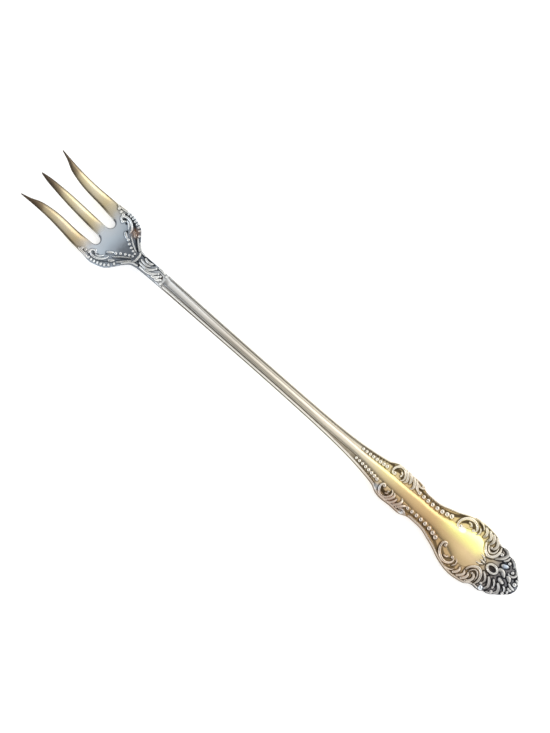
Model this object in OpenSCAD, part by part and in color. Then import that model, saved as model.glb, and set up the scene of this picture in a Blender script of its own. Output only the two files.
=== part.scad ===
// Oyster fork, struck in one pattern: three flared tines, a dished bowl with ornamented shoulders,
// a leafed neck, a reeded stem, and a crowned handle panel framed by beads, scrolls and a leaf crest.
// Millimetres. The fork lies face up on z = 0 with its tine tips toward +Y and its right side toward +X.
// A place on it is [x, s]: x across from the middle line, s along from the tine tips.

/* [Lengths] */
// Tines, from their tips to the middle of the round slot ends
tine_length = 19.8; // [16:0.1:24]
// Bowl, from there to the start of the neck
bowl_length = 11.4; // [9:0.1:14]
// Neck, between the bowl and the reeded stem
neck_length = 8; // [6:0.1:10]
// Reeded stem, up to the waist scrolls
stem_length = 71; // [50:0.5:90]
// Waist, the stretch that the waist scrolls cover
waist_length = 10; // [8:0.1:12]
// Handle end, from the waist scrolls to the end of the smooth panel
panel_length = 20; // [16:0.1:24]
// Leaf crest, from the panel to the end of the fork
crest_length = 11.8; // [9:0.1:14]

/* [Widths] */
// Across the tips of the outer tines
tine_spread = 15.2; // [13:0.1:17]
// Middle tine at its root
middle_tine_width = 2.75; // [2.2:0.05:3.2]
// Slot between two tines at its round end
slot_width = 2.6; // [2:0.05:3]
// Bowl at its widest
head_width = 15.8; // [14:0.1:18]
// Neck
neck_width = 3.45; // [2.8:0.05:4.2]
// Stem at its slimmest
stem_width = 3.3; // [2.8:0.05:4]
// Handle across the waist scrolls
waist_width = 9.5; // [8.5:0.1:11]
// Handle at its widest, across the end scrolls
handle_width = 15.4; // [13.5:0.1:17]
// Crest across its eyelet
crest_width = 11.6; // [10.5:0.1:13]

/* [Heights and thicknesses] */
// Underside of the tine tips above the table
tip_rise = 4.9; // [3:0.1:7]
// Underside of the stem above the table, beside the neck
stem_rise = 1.8; // [1.6:0.1:3.2]
// Tine, halfway along
tine_thick = 1.4; // [1.1:0.05:1.8]
// Bowl
bowl_thick = 1.5; // [1.2:0.05:1.9]
// Neck
neck_thick = 2.5; // [2:0.05:3]
// Stem under its reeds
stem_thick = 1.8; // [1.4:0.05:2.3]
// Handle under its relief
handle_thick = 1.5; // [1.2:0.05:1.9]
// Crest under its leaves
crest_thick = 1.4; // [1.1:0.05:1.8]
// How far the sides of the bowl stand above its middle
bowl_dish = 0.9; // [0.4:0.05:1.4]
// Rounding of a tine's upper edges
tine_round = 0.35; // [0.15:0.05:0.5]

/* [Relief] */
// Crown of the shank above the face of the stem
shank_crown = 0.5; // [0.3:0.05:0.8]
// Crown of the panel above the face of the handle
panel_crown = 0.75; // [0.4:0.05:1.1]
// Edge reed, across
reed_width = 0.52; // [0.35:0.01:0.6]
// Edge reed, height
reed_height = 0.36; // [0.2:0.01:0.5]
// Curling ridge of a handle scroll, across
curl_width = 0.8; // [0.6:0.05:0.95]
// Leaf beside a handle scroll, across
leaf_width = 1.15; // [0.8:0.05:1.3]
// Handle scrolls and leaves, height
scroll_height = 0.75; // [0.4:0.05:1]
// Ridge of a shoulder or neck leaf, across
small_leaf_width = 0.8; // [0.5:0.05:0.9]
// Ridge of a shoulder or neck leaf, height
small_leaf_height = 0.42; // [0.25:0.01:0.6]
// Largest bead beside the stem, radius
stem_bead_radius = 0.46; // [0.3:0.01:0.5]
// Largest bead beside the handle panel, radius
handle_bead_radius = 0.54; // [0.35:0.01:0.6]
// Largest bead of the shoulders, radius
shoulder_bead_radius = 0.43; // [0.3:0.01:0.5]
// Ball of a crest leaf, radius
crest_ball_radius = 0.55; // [0.4:0.01:0.6]
// Beads in each row beside the stem and beside the panel
beads_in_row = 8; // [5:1:9]
// Ribs on each shoulder
rib_count = 8; // [5:1:9]

/* [Hidden] */
// Running gap between a relief element and the face that it stands on
seam = 0.01;
// Overrun of a cut beyond what it cuts
overrun = 1;
// Facets round a bead or slot end
$fn = 32;
// Distance between the rings of a straight stretch, a shaped one and a finely shaped one
straight_gap = 2.7;
shaped_gap = 1;
fine_gap = 0.6;
// Steps along a tine, and from one named place of a ridge to the next
tine_steps = 14;
ridge_steps = 2;
// Corners of the eyelet ring
eyelet_corners = 20;

// Section ends, measured from the tine tips
tine_end = tine_length;
bowl_end = tine_end + bowl_length;
neck_end = bowl_end + neck_length;
stem_end = neck_end + stem_length;
waist_end = stem_end + waist_length;
panel_end = waist_end + panel_length;
fork_length = panel_end + crest_length;

// Slots: the middle of each round end, beside the middle tine
slot_radius = slot_width / 2;
slot_x = middle_tine_width / 2 + slot_radius;
// Where an outer tine's inner edge starts at its root
outer_root_x = slot_x + slot_radius;

// Half width of the whole outline: shares of a section's length and of its own half width
tine_edge_shares = [[0, 1], [0.12, 0.973], [0.24, 0.95], [0.42, 0.934], [0.6, 0.946], [0.8, 0.98]];
bowl_edge_shares = [
    [0, 0.965], [0.16, 1], [0.27, 0.99], [0.47, 0.905], [0.58, 0.808], [0.685, 0.61], [0.79, 0.405],
    [0.895, 0.278]
];
neck_edge_shares = [[0, 1.08], [0.2, 1], [0.85, 1]];
stem_edge_shares = [
    [0, 1.05], [0.3, 1], [0.46, 1], [0.63, 1.06], [0.73, 1.15], [0.8, 1.27], [0.87, 1.485], [0.936, 1.8],
    [0.98, 2.15]
];
waist_edge_shares = [[0.03, 0.92], [0.2, 1], [0.5, 0.955], [0.78, 0.985], [0.9, 0.88]];
panel_edge_shares = [
    [0, 0.493], [0.08, 0.485], [0.235, 0.53], [0.355, 0.615], [0.475, 0.723], [0.595, 0.865], [0.715, 0.96],
    [0.835, 1], [0.955, 0.97]
];
crest_edge_shares = [
    [0.06, 1.19], [0.15, 1.085], [0.23, 1.05], [0.33, 1.065], [0.41, 1.01], [0.465, 0.915], [0.55, 0.9],
    [0.63, 0.835], [0.69, 0.735], [0.76, 0.63], [0.83, 0.51], [0.88, 0.4], [0.94, 0.31], [1, 0.13]
];

// Height of the underside above the table: shares of a section's length and of the rise
tine_under_shares = [[0, 1], [0.3, 0.67], [0.6, 0.35], [0.85, 0.105]];
bowl_under_shares = [[0, 0.015], [0.27, -0.05], [0.54, 0.12], [0.77, 0.4]];
neck_under_shares = [[0, 0.7], [0.5, 0.9]];
stem_under_shares = [[0, 0.98], [0.12, 1], [0.5, 0.72], [0.75, 0.45]];
waist_under_shares = [[0, 0.24]];
panel_under_shares = [[0, 0.13], [0.5, 0.02], [0.8, -0.05]];
crest_under_shares = [[0, 0], [0.35, 0.12], [0.62, 0.26], [1, 0.5]];

// Thickness below the face: shares of a section's length and of its thickness
tine_thick_shares = [[0, 0.36], [0.3, 0.8], [0.6, 1], [0.85, 1.05]];
bowl_thick_shares = [[0, 1], [0.5, 1.1], [0.8, 1.4]];
neck_thick_shares = [[0, 0.93], [0.5, 1.02]];
stem_thick_shares = [[0, 1.3], [0.2, 1.05], [0.5, 1], [0.8, 0.93]];
handle_thick_shares = [[0, 1.08], [0.5, 1], [0.9, 0.96]];
crest_thick_shares = [[0.1, 1], [0.75, 1], [1, 0.55]];

// Half width of the shank and panel: shares of a section's length and of its half width
stem_rib_shares = [[0, 0.62], [0.3, 0.53], [0.57, 0.55], [0.8, 0.64], [0.885, 0.64], [0.96, 0.85]];
waist_rib_shares = [[0, 0.325], [0.35, 0.32], [0.65, 0.3], [0.9, 0.35]];
panel_rib_shares = [
    [0, 0.23], [0.235, 0.26], [0.4, 0.3], [0.48, 0.28], [0.54, 0.265], [0.59, 0.3], [0.635, 0.42],
    [0.69, 0.45], [0.78, 0.52], [0.86, 0.555], [0.91, 0.545], [0.945, 0.48], [0.97, 0.37], [0.99, 0.2],
    [1, 0.05]
];

// Tine widths: shares of the tine's length and of its width at the root
middle_tine_shares = [
    [0, 0.11], [0.12, 0.44], [0.24, 0.6], [0.36, 0.73], [0.48, 0.82], [0.6, 0.89], [0.8, 0.96], [1, 1]
];
outer_tine_shares = [
    [0, 0.07], [0.12, 0.23], [0.24, 0.47], [0.36, 0.59], [0.48, 0.68], [0.6, 0.735], [0.72, 0.79],
    [0.9, 0.92], [1, 1]
];
// Dish of the face: how much of it each stretch of the head has
tine_dish_shares = [[0, 1], [0.5, 1.05]];
bowl_dish_shares = [[0, 1], [0.4, 0.9], [0.75, 0.35], [1, 0]];

// Paths of the curling ridges and of the leaves, in shares of a section's length and half width
waist_curl_shares = [
    [[0.085, 0.4], [0.02, 0.4], [-0.03, 0.52], [0, 0.7], [0.08, 0.83], [0.18, 0.87], [0.29, 0.77],
        [0.35, 0.6], [0.34, 0.46], [0.29, 0.38]],
    [[0.67, 0.88], [0.73, 0.76], [0.82, 0.71], [0.9, 0.79], [0.88, 0.93], [0.81, 0.95]]
];
waist_leaf_shares = [
    [[0.24, 0.92], [0.33, 0.84], [0.43, 0.68], [0.46, 0.52], [0.44, 0.41]],
    [[0.4, 0.93], [0.5, 0.85], [0.6, 0.66], [0.62, 0.48], [0.57, 0.36]],
    [[0.55, 0.88], [0.65, 0.74], [0.74, 0.59], [0.82, 0.47]]
];
waist_ball_shares = [[0.07, 0.42], [0.8, 0.85]];
end_curl_shares = [
    [[0.565, 0.47], [0.585, 0.4], [0.565, 0.34], [0.53, 0.345], [0.505, 0.42], [0.508, 0.53], [0.53, 0.655],
        [0.575, 0.765], [0.635, 0.83], [0.69, 0.82], [0.735, 0.725], [0.742, 0.62], [0.715, 0.54]],
    [[0.965, 0.56], [0.98, 0.43], [1.04, 0.3], [1.1, 0.27], [1.17, 0.35], [1.2, 0.5], [1.19, 0.66],
        [1.15, 0.8]]
];
end_leaf_shares = [
    [[0.7, 0.92], [0.78, 0.86], [0.84, 0.74], [0.86, 0.63]],
    [[0.79, 0.96], [0.87, 0.86], [0.93, 0.72], [0.95, 0.62]],
    [[0.88, 0.95], [0.96, 0.84], [1.01, 0.71]],
    [[0.96, 0.9], [1.05, 0.79], [1.08, 0.66], [1.03, 0.54]]
];
end_ball_shares = [[0.55, 0.42], [0.725, 0.55]];
crest_curl_shares = [
    [[0.23, 0.86], [0.31, 0.96], [0.4, 0.9], [0.45, 0.75], [0.42, 0.58], [0.35, 0.47]],
    [[0.5, 0.76], [0.57, 0.81], [0.64, 0.74], [0.66, 0.6], [0.6, 0.48], [0.53, 0.44]],
    [[0.69, 0.55], [0.75, 0.56], [0.8, 0.46], [0.78, 0.33], [0.7, 0.27]]
];
crest_leaf_shares = [[[0.47, 0.3], [0.55, 0.27], [0.61, 0.17], [0.62, 0.09]]];
crest_ball_shares = [[0.33, 0.73], [0.56, 0.62], [0.73, 0.42], [0.895, 0.16]];
crest_tongue_shares = [[[-0.02, 0.2], [0.05, 0.16], [0.13, 0.07]]];
crest_tip_shares = [[[0.68, 0], [0.8, 0], [0.97, 0]]];
// Shoulder scroll: shares of the bowl's length and of the half width inside its ribs
shoulder_scroll_shares = [
    [[0.2, 0.71], [0.15, 0.79], [0.16, 0.88], [0.22, 0.93], [0.33, 0.925], [0.42, 0.83], [0.475, 0.7],
        [0.5, 0.575]],
    [[0.29, 0.83], [0.37, 0.78], [0.415, 0.68], [0.41, 0.61]],
    [[0.4, 0.495], [0.46, 0.395], [0.53, 0.36]]
];
shoulder_ball_shares = [[0.21, 0.69]];
// Beads and reed of the shoulder: shares of the bowl's length and half width
root_bead_shares = [[-0.07, 0.86], [0.01, 0.82], [0.095, 0.79]];
neck_bead_shares = [[0.57, 0.3], [0.64, 0.205], [0.725, 0.15], [0.8, 0.1], [0.86, 0.065]];
shoulder_reed_shares = [[[0.61, 0.47], [0.73, 0.29], [0.84, 0.16], [0.92, 0.035]]];
neck_leaf_shares = [
    [[0.1, 0.66], [0.22, 0.44], [0.34, 0.48], [0.43, 0.72]],
    [[0.04, -0.36], [0.22, -0.44], [0.37, -0.42], [0.49, -0.06], [0.57, 0.42]],
    [[0.13, -0.8], [0.34, -0.8], [0.52, -0.62], [0.64, -0.24], [0.71, 0.08]],
    [[0.58, -0.8], [0.7, -0.58], [0.81, -0.02]],
    [[0.72, -0.82], [0.82, -0.6], [0.92, -0.2]],
    [[0.6, 0.78], [0.75, 0.82], [0.9, 0.7]]
];
neck_ball_shares = [[0.57, 0.44], [0.72, 0.1], [0.82, 0]];

// Ridge along its path: half widths and heights, as shares of its width and height
ridge_width_shares = [[0, 0.5], [0.12, 0.8], [0.45, 1], [0.8, 0.8], [1, 0.25]];
ridge_height_shares = [[0, 0.6], [0.15, 1], [0.7, 0.9], [1, 0.3]];
// Ridge across: places and heights of its surface
ridge_section_shares = [[1, 0], [0.62, 0.72], [0, 1], [-0.62, 0.72], [-1, 0]];
// Crown of the shank and the panel across
crown_section_shares = [
    [1, 0], [0.94, 0.3], [0.6, 0.75], [0, 1], [-0.6, 0.75], [-0.94, 0.3], [-1, 0]
];
// Crown along the shank and along the panel
shank_crown_shares = [[0, 0.35], [0.02, 0.9], [0.5, 0.9], [1, 1]];
panel_crown_shares = [[0, 0.8], [0.75, 1], [0.9, 0.85], [1, 0.3]];
// Places across the face, and how much of the thickness is left at the edge
flat_face_shares = [1, -1];
dished_face_shares = [1, 0.85, 0.6, 0.3, 0, -0.3, -0.6, -0.85, -1];
back_shares = [-1, -0.8, -0.45, 0, 0.45, 0.8, 1];
tine_section_shares = [1, 0.6, 0, -0.6, -1];
edge_thick_share = 0.52;
tine_edge_thick_share = 0.68;
// Size of a reed's two ends beside the rest of it
reed_end_share = 0.6;
// Most of a tine's thickness that its rounding may take
most_round_share = 0.3;
// How much of a bead lies below the face
bead_sink_share = 0.25;
// Smallest bead of a row beside its largest
least_bead_share = 0.76;
// Bead rows: where they start and end along their sections, and across, as shares of half widths
stem_bead_start_share = 0.887;
stem_bead_end_share = 0.985;
handle_bead_start_share = -0.055;
handle_bead_end_share = 0.41;
// Where a bead row runs between the rib and the reed
bead_ring_share = 0.43;

// Smooth curve through a table of [place, value]
function step_of(table, place, i = 0) =
    i >= len(table) - 2 || place < table[i + 1].x ? i : step_of(table, place, i + 1);
function slope_of(table, i) =
    let (a = table[max(i - 1, 0)], b = table[min(i + 1, len(table) - 1)]) (b.y - a.y) / (b.x - a.x);
function smooth(table, place) =
    let (
        i = step_of(table, place),
        gap = table[i + 1].x - table[i].x,
        u = (place - table[i].x) / gap,
        rise_a = slope_of(table, i) * gap,
        rise_b = slope_of(table, i + 1) * gap,
        a = table[i].y,
        b = table[i + 1].y
    )
    a + u * rise_a + u * u * (3 * (b - a) - 2 * rise_a - rise_b)
        + u * u * u * (2 * (a - b) + rise_a + rise_b);

// A section's table of shares in real sizes, from its start, length and size
function placed(shares, start, length, size) = [for (p = shares) [start + length * p.x, size * p.y]];

edge_points = concat(
    placed(tine_edge_shares, 0, tine_length, tine_spread / 2),
    placed(bowl_edge_shares, tine_end, bowl_length, head_width / 2),
    placed(neck_edge_shares, bowl_end, neck_length, neck_width / 2),
    placed(stem_edge_shares, neck_end, stem_length, stem_width / 2),
    placed(waist_edge_shares, stem_end, waist_length, waist_width / 2),
    placed(panel_edge_shares, waist_end, panel_length, handle_width / 2),
    placed(crest_edge_shares, panel_end, crest_length, crest_width / 2)
);
under_points = concat(
    placed(tine_under_shares, 0, tine_length, tip_rise),
    placed(bowl_under_shares, tine_end, bowl_length, stem_rise),
    placed(neck_under_shares, bowl_end, neck_length, stem_rise),
    placed(stem_under_shares, neck_end, stem_length, stem_rise),
    placed(waist_under_shares, stem_end, waist_length, stem_rise),
    placed(panel_under_shares, waist_end, panel_length, stem_rise),
    placed(crest_under_shares, panel_end, crest_length, stem_rise)
);
thick_points = concat(
    placed(tine_thick_shares, 0, tine_length, tine_thick),
    placed(bowl_thick_shares, tine_end, bowl_length, bowl_thick),
    placed(neck_thick_shares, bowl_end, neck_length, neck_thick),
    placed(stem_thick_shares, neck_end, stem_length, stem_thick),
    placed(handle_thick_shares, stem_end, waist_length + panel_length, handle_thick),
    placed(crest_thick_shares, panel_end, crest_length, crest_thick)
);
rib_points = concat(
    placed(stem_rib_shares, neck_end, stem_length, stem_width / 2),
    placed(waist_rib_shares, stem_end, waist_length, waist_width / 2),
    placed(panel_rib_shares, waist_end, panel_length, handle_width / 2)
);
dish_points = concat(
    placed(tine_dish_shares, 0, tine_length, bowl_dish),
    placed(bowl_dish_shares, tine_end, bowl_length, bowl_dish)
);

// Half width of the outline, thickness and dish at s
function edge_at(s) = smooth(edge_points, s);
function thick_at(s) = smooth(thick_points, s);
function dish_at(s) = s >= bowl_end ? 0 : smooth(dish_points, s);
// Height of the face that carries the relief
function face_at(x, s) =
    smooth(under_points, s) + thick_at(s) + dish_at(s) * pow(x / edge_at(s), 2);
// A point of the fork from its place [x, s] and its height
function point_at(x, s, z) = [x, fork_length / 2 - s, z];

// Shapes that repeat

// Solid through rings of points, each running from its right side over the top to its left side.
// An endless solid joins its last ring to its first.
module loft(rings, endless = false) {
    n = len(rings[0]);
    m = len(rings);
    walls = [
        for (i = [0:m - (endless ? 1 : 2)], j = [0:n - 1])
            let (
                a = i * n + j,
                b = i * n + (j + 1) % n,
                next = (i + 1) % m * n,
                c = next + j,
                d = next + (j + 1) % n
            )
            each [[a, d, b], [a, c, d]]
    ];
    first = [for (j = [0:n - 1]) j];
    last = [for (j = [0:n - 1]) m * n - 1 - j];
    polyhedron(
        [for (ring = rings) each ring],
        endless ? walls : concat(walls, [first], [last])
    );
}

// Stretch of the blank from one place along the fork to another, with rings no further apart than gap
module plate(from, to, gap, face_shares) {
    steps = ceil((to - from) / gap);
    loft([
        for (i = [0:steps])
            let (
                s = from + (to - from) * i / steps,
                half = edge_at(s),
                thick = thick_at(s)
            )
            concat(
                [for (v = face_shares) point_at(half * v, s, face_at(half * v, s))],
                [
                    for (v = back_shares)
                        point_at(
                            half * v, s,
                            face_at(half * v, s)
                                - thick * (1 - (1 - edge_thick_share) * pow(abs(v), 3))
                        )
                ]
            )
    ]);
}

// One tine between its two edges, given by the middle and the half width at each s
module tine(middles, halves) {
    steps = len(middles) - 1;
    loft([
        for (i = [0:steps])
            let (
                s = tine_end * i / steps,
                thick = thick_at(s),
                // the rounding dies out where the tine joins the bowl
                round_off = min(tine_round, thick * most_round_share) * (1 - pow(i / steps, 4))
            )
            concat(
                [
                    for (v = tine_section_shares)
                        let (x = middles[i] + halves[i] * v)
                            point_at(x, s, face_at(x, s) - round_off * v * v)
                ],
                [
                    for (v = -tine_section_shares)
                        let (x = middles[i] + halves[i] * v)
                            point_at(
                                x, s,
                                face_at(x, s) - thick * (1 - (1 - tine_edge_thick_share) * v * v)
                            )
                ]
            )
    ]);
}

// Stretch of the crowned rib that runs down the middle, between two places
module crowned(from, to, gap, crown, crown_shares) {
    steps = ceil((to - from) / gap);
    loft([
        for (i = [0:steps])
            let (
                s = from + (to - from) * i / steps,
                half = smooth(rib_points, s),
                height = crown * smooth(crown_shares, i / steps)
            )
            [
                for (p = crown_section_shares)
                    point_at(half * p.x, s, face_at(0, s) + seam + height * p.y)
            ]
    ]);
}

// Point of a smooth path through places, at u from 0 to 1
function path_at(path, u) =
    let (
        n = len(path) - 1,
        i = min(floor(u * n), n - 1),
        t = u * n - i,
        a = path[i],
        b = path[i + 1],
        turn_a = (b - path[max(i - 1, 0)]) / (i == 0 ? 1 : 2),
        turn_b = (path[min(i + 2, n)] - a) / (i == n - 1 ? 1 : 2)
    )
    a + t * turn_a + t * t * (3 * (b - a) - 2 * turn_a - turn_b)
        + t * t * t * (2 * (a - b) + turn_a + turn_b);

// Raised ridge along a path of [x, s] places, tapering to both ends
module ridge(path, width, height) {
    steps = ridge_steps * (len(path) - 1);
    small = 1 / (steps * steps);
    loft([
        for (i = [0:steps])
            let (
                u = i / steps,
                here = path_at(path, u),
                ahead = path_at(path, min(u + small, 1)) - path_at(path, max(u - small, 0)),
                across = [ahead.y, -ahead.x] / norm(ahead),
                half = width / 2 * smooth(ridge_width_shares, u),
                top = height * smooth(ridge_height_shares, u)
            )
            [
                for (p = ridge_section_shares)
                    let (q = here + across * half * p.x)
                        point_at(q.x, q.y, face_at(q.x, q.y) + seam + top * p.y)
            ]
    ]);
}

// Ridge of even width along places computed from s, closed by short ends
module reed(places, width, height) {
    n = len(places) - 1;
    loft([
        for (i = [0:n])
            let (
                ahead = places[min(i + 1, n)] - places[max(i - 1, 0)],
                across = [ahead.y, -ahead.x] / norm(ahead),
                size_share = i == 0 || i == n ? reed_end_share : 1
            )
            [
                for (p = ridge_section_shares)
                    let (q = places[i] + across * width / 2 * size_share * p.x)
                        point_at(q.x, q.y, face_at(q.x, q.y) + seam + height * size_share * p.y)
            ]
    ]);
}

// Round bead that stands on the face at [x, s]
module bead(x, s, radius) {
    tilt_x = atan((face_at(x + radius, s) - face_at(x - radius, s)) / (2 * radius));
    tilt_s = atan((face_at(x, s + radius) - face_at(x, s - radius)) / (2 * radius));
    translate(point_at(x, s, face_at(x, s) + seam))
        rotate([-tilt_s, -tilt_x, 0])
            intersection() {
                translate([0, 0, radius * (1 - 2 * bead_sink_share) / 2])
                    sphere(radius);
                translate([-radius, -radius, 0])
                    cube(2 * radius);
            }
}

// Graded row of beads between two places
module bead_row(first, last, radius) {
    for (i = [0:beads_in_row - 1]) {
        u = i / (beads_in_row - 1);
        place = first + (last - first) * u;
        bead(place.x, place.y, radius * (least_bead_share + (1 - least_bead_share) * u));
    }
}

// Shares of a section turned into [x, s] places
function across_section(shares, start, length, half) =
    [for (p = shares) [half * p.y, start + length * p.x]];

// Ridges on a section of the fork, from the shares of their paths
module ridges(paths_shares, start, length, half, width, height) {
    for (shares = paths_shares)
        ridge(across_section(shares, start, length, half), width, height);
}

// Balls on a section of the fork, from the shares of their places
module balls(shares, start, length, half, radius) {
    for (p = across_section(shares, start, length, half))
        bead(p.x, p.y, radius);
}

// Block that takes away what lies below the table
module below_table(from, to) {
    translate([-head_width, fork_length / 2 - to - overrun, -head_width])
        cube([2 * head_width, to - from + 2 * overrun, head_width]);
}

// Regions of the blank

module middle_tine_shape() {
    tine(
        [for (i = [0:tine_steps]) 0],
        [for (i = [0:tine_steps]) middle_tine_width / 2 * smooth(middle_tine_shares, i / tine_steps)]
    );
}

module outer_tine_shape() {
    root_width = edge_at(tine_end) - outer_root_x;
    halves = [
        for (i = [0:tine_steps]) root_width / 2 * smooth(outer_tine_shares, i / tine_steps)
    ];
    tine(
        [for (i = [0:tine_steps]) edge_at(tine_end * i / tine_steps) - halves[i]],
        halves
    );
}

module tine_left() {
    color("#cdbf9a") mirror([1, 0, 0]) outer_tine_shape();
}

module tine_middle() {
    color("#cdbf9a") middle_tine_shape();
}

module tine_right() {
    color("#cdbf9a") outer_tine_shape();
}

module bowl() {
    color("#b9bdc4")
        difference() {
            plate(tine_end, bowl_end, shaped_gap, dished_face_shares);
            for (side = [-1, 1])
                translate(point_at(side * slot_x, tine_end, -overrun))
                    cylinder(h = stem_rise + neck_thick + bowl_dish + 2 * overrun, r = slot_radius);
            below_table(tine_end, bowl_end);
        }
}

module neck() {
    color("#a9adb4") plate(bowl_end, neck_end, shaped_gap, flat_face_shares);
}

module stem() {
    color("#c9c0a8") plate(neck_end, stem_end, straight_gap, flat_face_shares);
}

module handle() {
    color("#c2b591")
        difference() {
            plate(stem_end, panel_end, shaped_gap, flat_face_shares);
            below_table(waist_end, panel_end);
        }
}

module crest() {
    color("#a9a69c") plate(panel_end, fork_length, fine_gap, flat_face_shares);
}

// Relief of the stem and the handle

shank_end = neck_end + stem_length * stem_bead_start_share;

module shank() {
    color("#d8cda6")
        crowned(neck_end + seam, shank_end, straight_gap, shank_crown, shank_crown_shares);
}

module panel() {
    color("#e3d38f") crowned(shank_end, panel_end, fine_gap, panel_crown, panel_crown_shares);
}

// Places along the right edge, set in from it by half a reed
function along_edge(from, to, gap) =
    let (steps = ceil((to - from) / gap))
        [for (i = [0:steps]) let (s = from + (to - from) * i / steps) [edge_at(s) - reed_inset, s]];

reed_inset = reed_width / 2 + 2 * seam;

module stem_reed_shape() {
    reed(
        along_edge(neck_end + reed_width, stem_end - curl_width, straight_gap),
        reed_width, reed_height
    );
}

module stem_reed_left() {
    color("#cfcabd") mirror([1, 0, 0]) stem_reed_shape();
}

module stem_reed_right() {
    color("#cfcabd") stem_reed_shape();
}

module waist_reed_shape() {
    reed(
        along_edge(waist_end - seam, waist_end + panel_length * handle_bead_end_share, shaped_gap),
        reed_width, reed_height
    );
}

module waist_reed_left() {
    color("#cfcabd") mirror([1, 0, 0]) waist_reed_shape();
}

module waist_reed_right() {
    color("#cfcabd") waist_reed_shape();
}

// Place between the rib and the reed at s
function in_recess(s) =
    let (inner = smooth(rib_points, s), outer = edge_at(s) - reed_inset - reed_width / 2)
        [inner + (outer - inner) * bead_ring_share, s];

module stem_beads_shape() {
    bead_row(
        in_recess(neck_end + stem_length * stem_bead_start_share),
        in_recess(neck_end + stem_length * stem_bead_end_share),
        stem_bead_radius
    );
}

module stem_beads_left() {
    color("#d9d2bd") mirror([1, 0, 0]) stem_beads_shape();
}

module stem_beads_right() {
    color("#d9d2bd") stem_beads_shape();
}

module handle_beads_shape() {
    bead_row(
        in_recess(waist_end + panel_length * handle_bead_start_share),
        in_recess(waist_end + panel_length * handle_bead_end_share),
        handle_bead_radius
    );
}

module handle_beads_left() {
    color("#d9d2bd") mirror([1, 0, 0]) handle_beads_shape();
}

module handle_beads_right() {
    color("#d9d2bd") handle_beads_shape();
}

module waist_scroll_shape() {
    half = waist_width / 2;
    ridges(waist_curl_shares, stem_end, waist_length, half, curl_width, scroll_height);
    ridges(waist_leaf_shares, stem_end, waist_length, half, leaf_width, scroll_height);
    balls(waist_ball_shares, stem_end, waist_length, half, stem_bead_radius);
}

module waist_scroll_left() {
    color("#b8aa8c") mirror([1, 0, 0]) waist_scroll_shape();
}

module waist_scroll_right() {
    color("#b8aa8c") waist_scroll_shape();
}

module end_scroll_shape() {
    half = handle_width / 2;
    ridges(end_curl_shares, waist_end, panel_length, half, curl_width, scroll_height);
    ridges(end_leaf_shares, waist_end, panel_length, half, leaf_width, scroll_height);
    balls(end_ball_shares, waist_end, panel_length, half, handle_bead_radius);
}

module end_scroll_left() {
    color("#b8aa8c") mirror([1, 0, 0]) end_scroll_shape();
}

module end_scroll_right() {
    color("#b8aa8c") end_scroll_shape();
}

// Relief of the crest

module crest_leaves_shape() {
    half = crest_width / 2;
    ridges(crest_curl_shares, panel_end, crest_length, half, curl_width, scroll_height);
    ridges(crest_leaf_shares, panel_end, crest_length, half, leaf_width, scroll_height);
    balls(crest_ball_shares, panel_end, crest_length, half, crest_ball_radius);
}

module crest_leaves_left() {
    color("#9fa3a6") mirror([1, 0, 0]) crest_leaves_shape();
}

module crest_leaves_right() {
    color("#9fa3a6") crest_leaves_shape();
}

// Eyelet: its place and half length along the crest, and its half width across
eyelet_place_share = 0.33;
eyelet_length_share = 0.11;
eyelet_width_share = 0.18;

// Oval ring round the hollow of the crest
module eyelet_ring() {
    middle = panel_end + crest_length * eyelet_place_share;
    loft(
        [
            for (i = [0:eyelet_corners - 1])
                let (a = 360 * i / eyelet_corners)
                    [
                        for (p = ridge_section_shares)
                            let (
                                half_x = crest_width / 2 * eyelet_width_share,
                                half_s = crest_length * eyelet_length_share,
                                x = (half_x + curl_width / 2 * p.x) * sin(a),
                                s = middle - (half_s + curl_width / 2 * p.x) * cos(a)
                            )
                            point_at(x, s, face_at(x, s) + seam + scroll_height * p.y)
                    ]
        ],
        endless = true
    );
}

module crest_eyelet() {
    color("#b5b2a6") {
        eyelet_ring();
        for (side = [0, 1])
            mirror([side, 0, 0])
                ridges(
                    crest_tongue_shares, panel_end, crest_length, crest_width / 2,
                    curl_width, scroll_height
                );
        ridges(
            crest_tip_shares, panel_end, crest_length, crest_width / 2, leaf_width, scroll_height
        );
    }
}

// Relief of the shoulders and the neck

// Where the ribs start and end along the bowl, and how far each reaches in from the edge
rib_start_share = 0.12;
rib_end_share = 0.66;
rib_reach_shares = [0.12, 0.6, 1.1];
// Inner shoulder reed, across, beside a leaf ridge
inner_reed_share = 0.7;

module shoulder_border_shape() {
    start = tine_end + bowl_length * rib_start_share;
    end = tine_end + bowl_length * rib_end_share;
    for (i = [0:rib_count - 1]) {
        s = start + (end - start) * i / (rib_count - 1);
        outer = [edge_at(s), s];
        ahead = [edge_at(s + seam) - edge_at(s - seam), 2 * seam];
        inward = [-ahead.y, ahead.x] / norm(ahead);
        ridge(
            [for (share = rib_reach_shares) outer + inward * small_leaf_width * share],
            small_leaf_width, small_leaf_height
        );
    }
    reed(
        along_edge(end + small_leaf_width, bowl_end + small_leaf_width, fine_gap),
        reed_width, small_leaf_height
    );
    ridges(
        shoulder_reed_shares, tine_end, bowl_length, head_width / 2,
        small_leaf_width * inner_reed_share, small_leaf_height
    );
}

module shoulder_border_left() {
    color("#a7abb0") mirror([1, 0, 0]) shoulder_border_shape();
}

module shoulder_border_right() {
    color("#a7abb0") shoulder_border_shape();
}

module shoulder_scroll_shape() {
    half = head_width / 2 - small_leaf_width * max(rib_reach_shares);
    ridges(
        shoulder_scroll_shares, tine_end, bowl_length, half, small_leaf_width, small_leaf_height
    );
    balls(shoulder_ball_shares, tine_end, bowl_length, half, shoulder_bead_radius);
}

module shoulder_scroll_left() {
    color("#a7abb0") mirror([1, 0, 0]) shoulder_scroll_shape();
}

module shoulder_scroll_right() {
    color("#a7abb0") shoulder_scroll_shape();
}

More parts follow.
